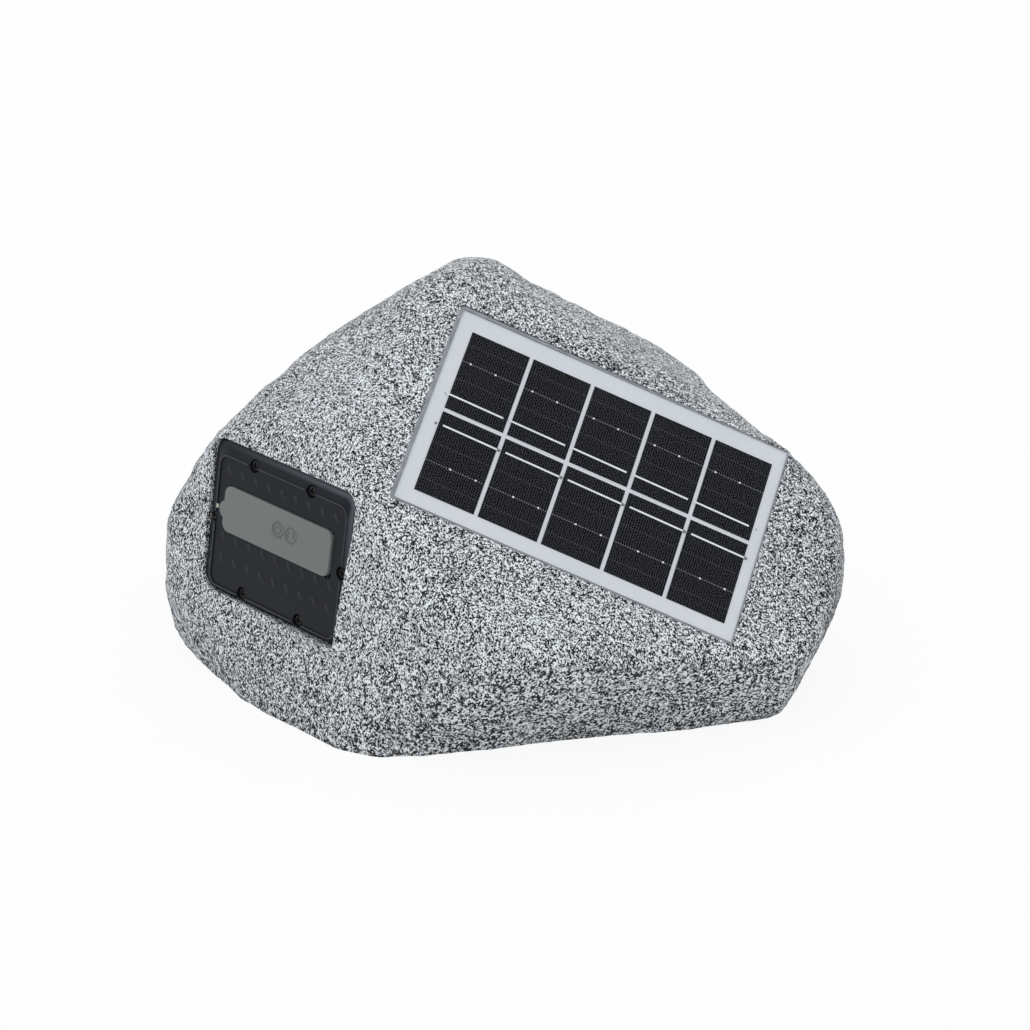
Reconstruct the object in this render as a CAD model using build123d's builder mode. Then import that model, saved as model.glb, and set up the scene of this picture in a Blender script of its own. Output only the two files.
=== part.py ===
from build123d import *
from math import cos, radians, sin
import os

os.makedirs("parts", exist_ok=True)

# Solar powered garden speaker in the shape of a rock, in millimetres.
# The rock stands on z = 0 with its base centre at the origin. The front looks along -Y, +X is to
# the right of someone who faces the front, and the loudspeaker looks out of the back.

# Rock: each face is a heading from the front (positive to the right), a slope above level,
# and a distance from the core point over the base centre
core_height = 80.0
rock_faces = {
    "solar": (27.0, 48.6, 60.0),
    "left_front": (-45.0, 10.0, 102.0),
    "front_left": (-22.0, 2.0, 108.0),
    "front_right": (12.0, -31.0, 112.0),
    "left_top": (-58.0, 57.0, 103.0),
    "right_end": (83.0, 5.0, 161.0),
    "right_tuck": (73.0, -23.0, 162.0),
    "crest": (107.0, 57.0, 98.0),
    "left_end": (-96.0, 2.0, 169.0),
    "left_tuck": (-62.0, -21.0, 151.0),
    "back": (180.0, 15.0, 117.0),
    "back_right": (124.0, 18.0, 128.0),
    "back_left": (-123.0, 35.0, 123.0),
    "back_top": (168.0, 44.0, 120.0),
    "back_left_top": (-129.0, 52.0, 120.0),
}
edge_radius = 12.0
wall = 6.0
block_size = 700.0
skirt_depth = 60.0

# Cross recess of a screw, as shares of its head's radius and height
cross_reach = 1.2
cross_width = 0.3
cross_depth = 0.6

# Base: the plate closes the shell from below, flush with its rim. Each screw is on a heading from
# the base centre
rim_wall = 3.5
plate_gap = 0.4
plate_thickness = 4.0
plate_seal = 1.0
plate_corner = 14.0
boss_radius = 5.0
boss_roof = 2.0
boss_hole_gap = 0.8
boss_inset = 10.5
boss_web = 6.0
boss_headings = (-19.97, 61.7, -92.15, 155.57, -142.87, 89.11, -120.92)
base_screw_radius = 1.5
base_screw_length = 14.0
base_head_radius = 3.2
base_head_height = 1.8
base_head_sink = 0.4

# Solar panel, laid into a recess of the solar face and rolled so that it runs down to the right
panel_border_side = 6.65
panel_border_end = 8.825
panel_across = 22.6
panel_up = -12.7
panel_roll = -38.3
panel_corner = 1.0
panel_proud = 0.5
backsheet_thickness = 1.8
cell_thickness = 0.3
cell_cover = 0.6
seal_width = 1.8
seal_drop = 0.4
cell_columns = 5
cell_width = 29.5
cell_height = 44.3
column_gap = 2.05
row_gap = 2.25
array_shift = (0.9, -0.8)
ribbon_width = 1.2
ribbon_thickness = 0.15
ribbon_offset = 14.8
ribbon_short = 2.2
ribbon_bridge = 1.6
junction_length = 36.0
junction_width = 14.0
junction_depth = 11.0
junction_gap = 1.0
junction_corner = 1.5

# Control cover on the left front face, with the port flap in a pocket of it
cover_across = -47.8
cover_up = -13.3
cover_width = 99.0
cover_height = 75.0
cover_corner = 8.0
cover_gap = 0.8
cover_recess = 7.0
cover_edge = 1.6
cover_rise = 2.6
bevel_side = 4.4
bevel_top = 6.5
bevel_bottom = 2.5
field_across = 1.0
field_corner = 6.0
bead_width = 1.2
bead_height = 0.5
cover_seal = 1.0
cover_pad_margin = 8.0
cover_pad_thickness = 10.0
layout_drop = 1.0
screw_across = 20.0
screw_inset_end = 5.8
screw_inset_side = 4.2
cover_head_radius = 2.5
cover_head_height = 1.6
cover_head_pocket = 3.2
cover_head_sink = 2.0
cover_screw_radius = 1.3
cover_screw_length = 12.0
screw_hole_gap = 0.2
screw_tip_gap = 1.0
stud_columns = 9
stud_rows = 5
stud_across = 9.4
stud_up = 10.95
stud_centre = (1.1, 1.6)
stud_length = 3.6
stud_width = 1.6
stud_turn = -55.0
stud_height = 0.25

# Port flap: a thick rubber lid that turns on a pin at its right end
flap_margin = 7.6
flap_height = 22.6
flap_corner = 4.2
flap_up = 5.3
flap_top = 1.1
flap_gap = 0.35
pocket_depth = 2.4
flap_axis_depth = 0.9
flap_end = 1.2
flap_seat_gap = 0.3
flap_edge_radius = 0.5
ear_radius = 4.5
ear_reach = 3.0
ear_drop = 0.9
ring_across = (1.5, 10.6)
ring_up = 6.3
ring_radius = 3.9
ring_line = 0.6
ring_height = 0.3
hinge_pin_radius = 0.45
hinge_pin_gap = 0.05
hinge_pin_seat = 2.0
hinge_corner = 2.0
lamp_radius = 1.1
lamp_offset = 5.1

# Push buttons, switches and sockets behind the flap
button_radius = 3.2
button_gap = 0.3
button_rise = 0.6
button_travel = 0.6
button_flange = 4.3
button_flange_height = 1.0
button_relief = 0.4
switch_size = 6.0
switch_height = 3.5
switch_plunger_radius = 1.75
switch_plunger_height = 0.9
switch_gap = 0.7
usb_inset = 13.0
usb_width = 9.0
usb_thickness = 3.3
usb_wall = 0.35
usb_depth = 6.2
usb_gap = 0.5
usb_slot_gap = 1.0
usb_roundness = 0.45
usb_tongue = (6.7, 0.7)
board_thickness = 1.6
box_land_side = 7.5
box_land_end = 11.5
box_wall = 2.0
box_flange = 2.0
box_depth = 17.0
box_gap = 0.6
box_corner = 5.0
control_board_gap = 1.0
post_radius = 2.6
post_inset = 5.0
small_screw_radius = 1.0
small_head_radius = 1.9
small_head_height = 1.2
small_screw_length = 5.0
grommet_radius = 4.2
grommet_lip = 1.2
grommet_up = -12.0
lead_radius = 1.6

# Loudspeaker, looking out of the back face
driver_up = -38.0
ring_land = 5.0
ring_lap = 3.0
ring_gap = 0.4
ring_depth = 5.0
ring_proud = 0.8
ring_step = 1.2
ring_screw_inset = 2.6
grille_lap = 2.5
grille_thickness = 1.0
grille_hole = 1.5
grille_pitch = 4.6
grille_margin = 2.0
driver_recess = 16.0
driver_pad_margin = 5.0
flange_outer = 47.5
flange_width = 8.6
flange_thickness = 3.0
flange_gap = 0.6
driver_seal = 1.0
baffle_gap = 1.0
driver_screw_inset = 2.9
driver_screw_radius = 1.4
driver_screw_length = 11.0
driver_head_radius = 2.4
driver_head_height = 1.6
basket_depth = 28.0
basket_rear = 29.0
basket_wall = 2.1
basket_plate = 2.0
basket_bore = 14.0
spider_ledge = 24.0
spider_height = 6.0
window_width = 22.0
window_low = 1.0
window_high = 3.5
tab_width = 16.0
tab_reach = 9.0
strip_short = 1.0
terminal_height = 3.0
plate_outer = 28.0
plate_height = 4.0
magnet_outer = 30.0
magnet_inner = 15.0
magnet_height = 10.0
pole_radius = 9.5
coil_gap = 0.45
coil_wall = 0.5
coil_top = 18.0
coil_length = 17.0
coil_stand = 0.5
cone_thickness = 0.6
cone_lip = 2.0
cone_neck = 1.2
cap_radius = 14.0
cap_rise = 5.0
roll_radius = 2.0
roll_wall = 0.6
roll_lap = 0.1
lip_outer = 2.4
spider_wave = 0.9
spider_thickness = 0.5
spider_waves = 4
spider_margin = 1.0

# Amplifier board and battery on the base plate
amp_length = 84.0
amp_width = 58.0
amp_centre = (58.0, 6.0)
amp_tip_gap = 1.6
amp_corner = 2.0
amp_post_radius = 3.5
amp_hole_inset = 4.0
amp_screw_radius = 1.4
amp_head_radius = 2.7
amp_head_height = 1.8
amp_screw_length = 8.0
sink_size = (30.0, 20.0, 16.0)
sink_place = (16.0, 8.0)
sink_base = 4.0
sink_fins = 6
sink_fin = 1.4
chip_size = (14.0, 10.0, 2.4)
capacitor_radius = 6.0
capacitor_height = 16.0
capacitor_edge = 0.8
capacitor_places = ((-10.0, 18.0), (-10.0, 4.0), (33.0, -12.0))
inductor_size = (12.0, 12.0, 8.0)
inductor_corner = 2.0
inductor_places = ((6.0, -18.0), (20.0, -18.0))
socket_size = (7.0, 8.0, 7.0)
socket_side = -38.0
socket_run = 10.0
socket_rows = (-16.0, -5.5, 5.0, 15.5)
tray_centre = (-52.0, 18.0)
cell_radius = 9.2
cell_length = 65.0
cell_count = 3
cell_spacing = 0.8
tray_wall = 2.0
tray_corner = 2.0
tray_height = 12.0
tray_gap = 0.8
tray_ear = 12.0
strap_width = 14.0
strap_thickness = 1.2
strap_gap = 0.3
foot_margin = 2.0
foot_short = 1.0
strap_screw_length = 5.0

# Leads: the run straight out of each fixed end, the radius of the bends and the points between
solar_lead_run = 14.0
control_lead_run = 16.0
speaker_lead_run = 10.0
solar_lead_bend = 7.0
control_lead_bend = 6.0
speaker_lead_bend = 6.0
battery_lead_bend = 4.0
solar_lead_points = ((44.0, 2.0, 92.0), (20.0, -6.0, 66.0), (-2.0, -14.0, 40.0))
speaker_lead_points = ((12.0, 56.0, 20.0), (4.0, 40.0, 24.0))
control_lead_points = ((-66.0, -8.0, 66.0), (-40.0, -22.0, 52.0), (-12.0, -18.0, 32.0))

core = Vector(0, 0, core_height)


def face_plane(name):
    """The plane of a rock face, with its x level and to the right seen from outside."""
    heading, slope, distance = rock_faces[name]
    h = radians(heading)
    s = radians(slope)
    outward = Vector(sin(h) * cos(s), -cos(h) * cos(s), sin(s))
    return Plane(origin=core + outward * distance, x_dir=Vector(cos(h), sin(h), 0), z_dir=outward)


def shifted(plane, across, up, roll=0.0):
    """The same plane with its origin moved within it, and turned about its normal."""
    return Plane(plane.location * Location((across, up, 0), (0, 0, roll)))


def rock_block(inset):
    """The rock between its faces, each moved in by the inset, with a skirt below the ground."""
    with BuildPart() as block:
        with Locations((0, 0, -skirt_depth)):
            Box(block_size, block_size, block_size, align=(Align.CENTER, Align.CENTER, Align.MIN))
        for name in rock_faces:
            split(bisect_by=face_plane(name).offset(-inset), keep=Keep.BOTTOM)
    return block.part


def ground_reach(name):
    """How far out a face meets the ground, measured level from the base centre."""
    slope, distance = rock_faces[name][1:]
    return (distance + core_height * sin(radians(slope))) / cos(radians(slope))


def ground_slab(inset, low, high):
    """A straight-sided slab with the rock's outline on the ground, moved in by the inset."""
    with BuildPart() as slab:
        Box(block_size, block_size, block_size)
        for name in rock_faces:
            h = radians(rock_faces[name][0])
            outward = Vector(sin(h), -cos(h), 0)
            side = Plane(origin=outward * (ground_reach(name) - inset - plate_corner), z_dir=outward)
            split(bisect_by=side, keep=Keep.BOTTOM)
        offset(amount=plate_corner, kind=Kind.ARC)
        split(bisect_by=Plane.XY.offset(low), keep=Keep.TOP)
        split(bisect_by=Plane.XY.offset(high), keep=Keep.BOTTOM)
    return slab.part


def boss_place(heading):
    """Where a base screw goes on a heading from the base centre, inside the side that it meets first.
    It is turned so that its x looks out of that side."""
    facing = {name: cos(radians(face[0] - heading)) for name, face in rock_faces.items()}
    ways = {name: (ground_reach(name) - boss_inset) / facing[name] for name in rock_faces if facing[name] > 0}
    side = min(ways, key=ways.get)
    h = radians(heading)
    return Location((sin(h) * ways[side], -cos(h) * ways[side], 0), (0, 0, rock_faces[side][0] - 90))


def screws(plane, places, seat, head, shank):
    """Cross-recessed pan head screws. Head and shank are each a radius and a length."""
    with BuildPart() as group:
        with BuildSketch(plane.offset(seat)):
            with Locations(*places):
                Circle(head[0])
        extrude(amount=head[1])
        with BuildSketch(plane.offset(seat)):
            with Locations(*places):
                Circle(shank[0])
        extrude(amount=-shank[1])
        with BuildSketch(plane.offset(seat + head[1])):
            with Locations(*places):
                Rectangle(head[0] * cross_reach, head[0] * cross_width)
                Rectangle(head[0] * cross_width, head[0] * cross_reach)
        extrude(amount=-head[1] * cross_depth, mode=Mode.SUBTRACT)
    return group.part


def lead(points, bend):
    """A round lead along straight runs joined by arcs."""
    with BuildPart() as cable:
        with BuildLine() as route:
            FilletPolyline(*points, radius=bend)
        with BuildSketch(Plane(route.line @ 0, z_dir=route.line % 0)):
            Circle(lead_radius)
        sweep()
    return cable.part


solar_face = face_plane("solar")
panel_plane = shifted(solar_face, panel_across, panel_up, panel_roll)
cover_plane = shifted(face_plane("left_front"), cover_across, cover_up)
driver_plane = shifted(face_plane("back"), 0.0, driver_up)

# The panel's outline follows from its cells
panel_length = cell_columns * cell_width + (cell_columns - 1) * column_gap + 2 * panel_border_side
panel_height = 2 * cell_height + row_gap + 2 * panel_border_end

# Heights along the panel's normal
panel_floor = panel_proud - backsheet_thickness - cell_thickness - cell_cover
cell_floor = panel_floor + backsheet_thickness
ribbon_floor = cell_floor + cell_thickness

# The cover's field, flap, box and screws follow from its outline
field_width = cover_width - 2 * bevel_side
field_height = cover_height - bevel_top - bevel_bottom
field_drop = (bevel_top - bevel_bottom) / 2
flap_width = field_width - 2 * flap_margin
usb_across = usb_inset - flap_width / 2
box_width = cover_width - 2 * box_land_side
box_height = cover_height - 2 * box_land_end
screw_up = cover_height / 2 - screw_inset_end
screw_side = cover_width / 2 - screw_inset_side
cover_pad_depth = cover_recess + cover_pad_thickness

# Heights along the cover's normal
box_seat = -cover_recess
seal_seat = box_seat + box_flange
cover_back = seal_seat + cover_seal
cover_field = cover_back + cover_edge + cover_rise
pocket_floor = cover_field - pocket_depth
flap_axis = cover_field - flap_axis_depth
flap_bottom = pocket_floor + flap_seat_gap
button_low = cover_back - button_flange_height - button_travel - switch_gap
board_top = button_low - switch_gap - switch_plunger_height - switch_height
board_bottom = board_top - board_thickness
box_floor = box_seat - box_depth

# The loudspeaker's opening, grille and ring follow from the basket's flange
flange_inner = flange_outer - flange_width
throat = flange_inner + basket_wall
baffle_hole = throat + baffle_gap
driver_screw_circle = flange_outer - driver_screw_inset
grille_radius = flange_outer + grille_lap
ring_inner = grille_radius - ring_lap
ring_outer = grille_radius + ring_land
ring_screw_circle = ring_outer - ring_screw_inset
grille_field = ring_inner - grille_margin
driver_pad_radius = ring_outer + driver_pad_margin
driver_pad_depth = driver_recess + driver_screw_length

# Heights along the driver's normal
flange_back = driver_seal - driver_recess
flange_front = flange_back + flange_thickness
basket_back = flange_front - basket_depth
top_plate_back = basket_back - plate_height
magnet_back = top_plate_back - magnet_height
coil_inner = pole_radius + coil_gap
coil_outer = coil_inner + coil_wall

plate_ledge = plate_thickness + plate_seal
base_screw_seat = base_head_sink + base_head_height
boss_hole_depth = base_screw_seat + base_screw_length + boss_hole_gap - plate_ledge
boss_turns = [boss_place(heading) for heading in boss_headings]
boss_points = [(turn.position.X, turn.position.Y) for turn in boss_turns]
cover_screw_places = [(x * screw_across, y * screw_up - layout_drop) for y in (1, -1) for x in (-1, 1)]
cover_screw_places += [(x * screw_side, -layout_drop) for x in (-1, 1)]
button_places = [(across, ring_up) for across in ring_across]
axis_across = flap_width / 2 - flap_end

# Rock shell: the rounded rock, less a cavity that leaves pads for the cover and the loudspeaker
cut_reach = 40.0

with BuildPart() as outside:
    add(rock_block(edge_radius))
    offset(amount=edge_radius, kind=Kind.ARC)
    split(bisect_by=Plane.XY, keep=Keep.TOP)

with BuildPart() as cavity:
    add(rock_block(wall))
    split(bisect_by=Plane.XY.offset(plate_ledge), keep=Keep.TOP)
    with BuildSketch(cover_plane.offset(-cover_pad_depth)):
        RectangleRounded(cover_width + 2 * cover_pad_margin, cover_height + 2 * cover_pad_margin,
                         cover_corner)
    extrude(amount=cut_reach, mode=Mode.SUBTRACT)
    with BuildSketch(driver_plane.offset(-driver_pad_depth)):
        Circle(driver_pad_radius)
    extrude(amount=cut_reach, mode=Mode.SUBTRACT)
    with BuildSketch(Plane.XY.offset(plate_ledge)):
        with Locations(*boss_turns):
            Circle(boss_radius)
            Rectangle(cut_reach, boss_web, align=(Align.MIN, Align.CENTER))
    extrude(amount=boss_hole_depth + boss_roof, mode=Mode.SUBTRACT)

base_opening = ground_slab(rim_wall, 0.0, plate_ledge)
ring_screw_places = [(ring_screw_circle * cos(radians(a)), ring_screw_circle * sin(radians(a)))
                     for a in (45, 135, 225, 315)]
driver_screw_places = [(driver_screw_circle * cos(radians(a)), driver_screw_circle * sin(radians(a)))
                       for a in (0, 90, 180, 270)]

with BuildPart() as rock_shell:
    add(outside.part)
    add(cavity.part, mode=Mode.SUBTRACT)
    add(base_opening, mode=Mode.SUBTRACT)
    with BuildSketch(Plane.XY.offset(plate_ledge)):
        with Locations(*boss_points):
            Circle(base_screw_radius)
    extrude(amount=boss_hole_depth, mode=Mode.SUBTRACT)
    with BuildSketch(panel_plane.offset(panel_floor)):
        RectangleRounded(panel_length + 2 * seal_width, panel_height + 2 * seal_width, seal_width)
    extrude(amount=cut_reach, mode=Mode.SUBTRACT)
    with BuildSketch(panel_plane.offset(panel_floor)):
        Rectangle(junction_length + 2 * junction_gap, junction_width + 2 * junction_gap)
    extrude(amount=-cut_reach / 2, mode=Mode.SUBTRACT)
    with BuildSketch(cover_plane.offset(box_seat)):
        RectangleRounded(cover_width + 2 * cover_gap, cover_height + 2 * cover_gap, cover_corner + cover_gap)
    extrude(amount=cut_reach, mode=Mode.SUBTRACT)
    with BuildSketch(cover_plane.offset(box_seat)):
        RectangleRounded(box_width + 2 * box_gap, box_height + 2 * box_gap, box_corner + box_gap)
    extrude(amount=-cut_reach, mode=Mode.SUBTRACT)
    with BuildSketch(cover_plane.offset(box_seat)):
        with Locations(*cover_screw_places):
            Circle(cover_screw_radius)
    extrude(amount=-cover_screw_length, mode=Mode.SUBTRACT)
    with BuildSketch(driver_plane.offset(-ring_depth)):
        Circle(ring_outer + ring_gap)
    extrude(amount=cut_reach, mode=Mode.SUBTRACT)
    with BuildSketch(driver_plane.offset(-driver_recess)):
        Circle(flange_outer + flange_gap)
    extrude(amount=driver_recess, mode=Mode.SUBTRACT)
    with BuildSketch(driver_plane.offset(-driver_recess)):
        Circle(baffle_hole)
    extrude(amount=-cut_reach, mode=Mode.SUBTRACT)
    with BuildSketch(driver_plane.offset(-ring_depth)):
        with Locations(*ring_screw_places):
            Circle(small_screw_radius)
    extrude(amount=-small_screw_length, mode=Mode.SUBTRACT)
    with BuildSketch(driver_plane.offset(-driver_recess)):
        with Locations(*driver_screw_places):
            Circle(driver_screw_radius)
    extrude(amount=-driver_screw_length, mode=Mode.SUBTRACT)

# Base plate with posts for the amplifier board, its seal and its screws
amp_post_height = amp_screw_length - board_thickness + amp_tip_gap
amp_holes = [(amp_centre[0] + x * (amp_length / 2 - amp_hole_inset),
              amp_centre[1] + y * (amp_width / 2 - amp_hole_inset)) for x in (-1, 1) for y in (-1, 1)]
cell_pitch = 2 * cell_radius + cell_spacing
tray_length = cell_length + 2 * (tray_gap + tray_wall)
tray_width = cell_count * cell_pitch + 2 * (tray_gap + tray_wall)
strap_holes = [(tray_centre[0], tray_centre[1] + y * (tray_width + tray_ear) / 2) for y in (-1, 1)]

with BuildPart() as base_plate:
    add(ground_slab(rim_wall + plate_gap, 0.0, plate_thickness))
    with BuildSketch(Plane.XY.offset(plate_thickness)):
        with Locations(*amp_holes):
            Circle(amp_post_radius)
    extrude(amount=amp_post_height)
    with BuildSketch(Plane.XY.offset(plate_thickness + amp_post_height)):
        with Locations(*amp_holes):
            Circle(amp_screw_radius)
    extrude(amount=-amp_post_height, mode=Mode.SUBTRACT)
    with BuildSketch(Plane.XY):
        with Locations(*boss_points):
            Circle(base_head_radius + screw_hole_gap)
    extrude(amount=base_screw_seat, mode=Mode.SUBTRACT)
    with BuildSketch(Plane.XY):
        with Locations(*boss_points):
            Circle(base_screw_radius + screw_hole_gap)
    extrude(amount=plate_thickness, mode=Mode.SUBTRACT)

with BuildPart() as base_gasket:
    add(ground_slab(rim_wall + plate_gap, plate_thickness, plate_ledge))
    add(ground_slab(wall + plate_gap, plate_thickness, plate_ledge), mode=Mode.SUBTRACT)

under_base = Plane(origin=(0, 0, base_screw_seat), x_dir=(1, 0, 0), z_dir=(0, 0, -1))
base_screws = screws(under_base, [(x, -y) for x, y in boss_points], 0.0,
                     (base_head_radius, base_head_height), (base_screw_radius, base_screw_length))

# Solar panel: white backsheet, dark cells, tinned ribbons, clear cover and the seal around it
columns = [(c - (cell_columns - 1) / 2) * (cell_width + column_gap) + array_shift[0]
           for c in range(cell_columns)]
row_centre = (cell_height + row_gap) / 2
cell_places = [(x, side * row_centre + array_shift[1]) for side in (1, -1) for x in columns]
ribbon_length = cell_width + ribbon_bridge - ribbon_short
ribbon_slide = (ribbon_bridge + ribbon_short) / 2
ribbon_places = [(x - side * ribbon_slide, side * (row_centre - ribbon_offset) + array_shift[1])
                 for side in (1, -1) for x in columns]

with BuildPart() as solar_backsheet:
    with BuildSketch(panel_plane.offset(panel_floor)):
        RectangleRounded(panel_length, panel_height, panel_corner)
    extrude(amount=backsheet_thickness)

with BuildPart() as solar_cells:
    with BuildSketch(panel_plane.offset(cell_floor)):
        with Locations(*cell_places):
            Rectangle(cell_width, cell_height)
    extrude(amount=cell_thickness)

with BuildPart() as cell_ribbons:
    with BuildSketch(panel_plane.offset(ribbon_floor)):
        with Locations(*ribbon_places):
            Rectangle(ribbon_length, ribbon_width)
    extrude(amount=ribbon_thickness)

with BuildPart() as solar_cover:
    with BuildSketch(panel_plane.offset(cell_floor)):
        RectangleRounded(panel_length, panel_height, panel_corner)
    extrude(amount=cell_thickness + cell_cover)
    add(solar_cells.part, mode=Mode.SUBTRACT)
    add(cell_ribbons.part, mode=Mode.SUBTRACT)

with BuildPart() as panel_seal:
    with BuildSketch(panel_plane.offset(panel_floor)):
        RectangleRounded(panel_length + 2 * seal_width, panel_height + 2 * seal_width, seal_width)
        RectangleRounded(panel_length, panel_height, panel_corner, mode=Mode.SUBTRACT)
    extrude(amount=panel_proud - panel_floor - seal_drop)

with BuildPart() as junction_box:
    with BuildSketch(panel_plane.offset(panel_floor)):
        RectangleRounded(junction_length, junction_width, junction_corner)
    extrude(amount=-junction_depth)

# Control box behind the cover, its seal and its board
board_posts = [(x * (box_width / 2 - box_wall - post_inset), y * (box_height / 2 - box_wall - post_inset))
               for x in (-1, 1) for y in (-1, 1)]

with BuildPart() as control_box:
    with BuildSketch(cover_plane.offset(box_seat)):
        RectangleRounded(cover_width, cover_height, cover_corner)
    extrude(amount=box_flange)
    with BuildSketch(cover_plane.offset(box_floor)):
        RectangleRounded(box_width, box_height, box_corner)
    extrude(amount=box_depth)
    with BuildSketch(cover_plane.offset(box_floor + box_wall)):
        RectangleRounded(box_width - 2 * box_wall, box_height - 2 * box_wall, box_corner - box_wall)
    extrude(amount=cut_reach, mode=Mode.SUBTRACT)
    with BuildSketch(cover_plane.offset(box_floor + box_wall)):
        with Locations(*board_posts):
            Circle(post_radius)
    extrude(amount=board_bottom - box_floor - box_wall)
    with BuildSketch(cover_plane.offset(board_bottom)):
        with Locations(*board_posts):
            Circle(small_screw_radius)
    extrude(amount=-(small_screw_length - board_thickness), mode=Mode.SUBTRACT)
    with BuildSketch(cover_plane.offset(box_seat + box_flange)):
        with Locations(*cover_screw_places):
            Circle(cover_screw_radius + screw_hole_gap)
    extrude(amount=-box_flange, mode=Mode.SUBTRACT)
    with BuildSketch(cover_plane.offset(box_floor)):
        with Locations((0, grommet_up)):
            Circle(grommet_radius)
    extrude(amount=box_wall, mode=Mode.SUBTRACT)

with BuildPart() as cover_gasket:
    with BuildSketch(cover_plane.offset(seal_seat)):
        RectangleRounded(cover_width, cover_height, cover_corner)
        RectangleRounded(box_width - 2 * box_wall, box_height - 2 * box_wall, box_corner - box_wall,
                         mode=Mode.SUBTRACT)
        with Locations(*cover_screw_places):
            Circle(cover_screw_radius + screw_hole_gap, mode=Mode.SUBTRACT)
    extrude(amount=cover_seal)

board_length = box_width - 2 * (box_wall + control_board_gap)
board_height = box_height - 2 * (box_wall + control_board_gap)

with BuildPart() as control_board:
    with BuildSketch(cover_plane.offset(board_bottom)):
        RectangleRounded(board_length, board_height, box_corner - box_wall)
        with Locations(*board_posts):
            Circle(small_screw_radius + screw_hole_gap, mode=Mode.SUBTRACT)
    extrude(amount=board_thickness)

control_board_screws = screws(cover_plane, board_posts, board_top, (small_head_radius, small_head_height),
                              (small_screw_radius, small_screw_length))

with BuildPart() as tact_switches:
    with BuildSketch(cover_plane.offset(board_top)):
        with Locations(*button_places):
            Rectangle(switch_size, switch_size)
    extrude(amount=switch_height)
    with BuildSketch(cover_plane.offset(board_top + switch_height)):
        with Locations(*button_places):
            Circle(switch_plunger_radius)
    extrude(amount=switch_plunger_height)

usb_top = cover_back - usb_gap
usb_corner = usb_thickness * usb_roundness
with BuildPart() as usb_socket:
    with BuildSketch(cover_plane.offset(board_top)):
        with Locations((usb_across, flap_up)):
            RectangleRounded(usb_width, usb_thickness, usb_corner)
    extrude(amount=usb_top - board_top)
    with BuildSketch(cover_plane.offset(usb_top)):
        with Locations((usb_across, flap_up)):
            RectangleRounded(usb_width - 2 * usb_wall, usb_thickness - 2 * usb_wall, usb_corner - usb_wall)
            Rectangle(*usb_tongue, mode=Mode.SUBTRACT)
    extrude(amount=-usb_depth, mode=Mode.SUBTRACT)

with BuildPart() as box_grommet:
    with BuildSketch(cover_plane.offset(box_floor - grommet_lip)):
        with Locations((0, grommet_up)):
            Circle(grommet_radius + grommet_lip)
            Circle(lead_radius, mode=Mode.SUBTRACT)
    extrude(amount=grommet_lip)
    with BuildSketch(cover_plane.offset(box_floor)):
        with Locations((0, grommet_up)):
            Circle(grommet_radius)
            Circle(lead_radius, mode=Mode.SUBTRACT)
    extrude(amount=box_wall)

# Control cover: bevelled lid with a beaded field of studs, screw pockets and the flap's pocket
flap_plane = shifted(cover_plane, 0.0, flap_up)
hinge_plane = Plane(flap_plane.from_local_coords((axis_across, 0, flap_axis)),
                    x_dir=flap_plane.x_dir, z_dir=flap_plane.y_dir)
axis_clear = flap_gap + ((flap_top + flap_axis_depth) ** 2 + flap_edge_radius ** 2) ** 0.5
stud_places = [(stud_centre[0] + (c - (stud_columns - 1) / 2) * stud_across,
                stud_centre[1] + (r - (stud_rows - 1) / 2) * stud_up)
               for c in range(stud_columns) for r in range(stud_rows)]
flap_edge_x = flap_width / 2 + flap_gap + stud_length
flap_edge_y = flap_height / 2 + flap_gap + stud_length / 2
open_studs = [(x, y) for x, y in stud_places
              if (abs(x) > flap_edge_x or abs(y - flap_up) > flap_edge_y)
              and abs(x - field_across) < field_width / 2 - bead_width - stud_length / 2
              and abs(y + field_drop) < field_height / 2 - bead_width - stud_length / 2]

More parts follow.
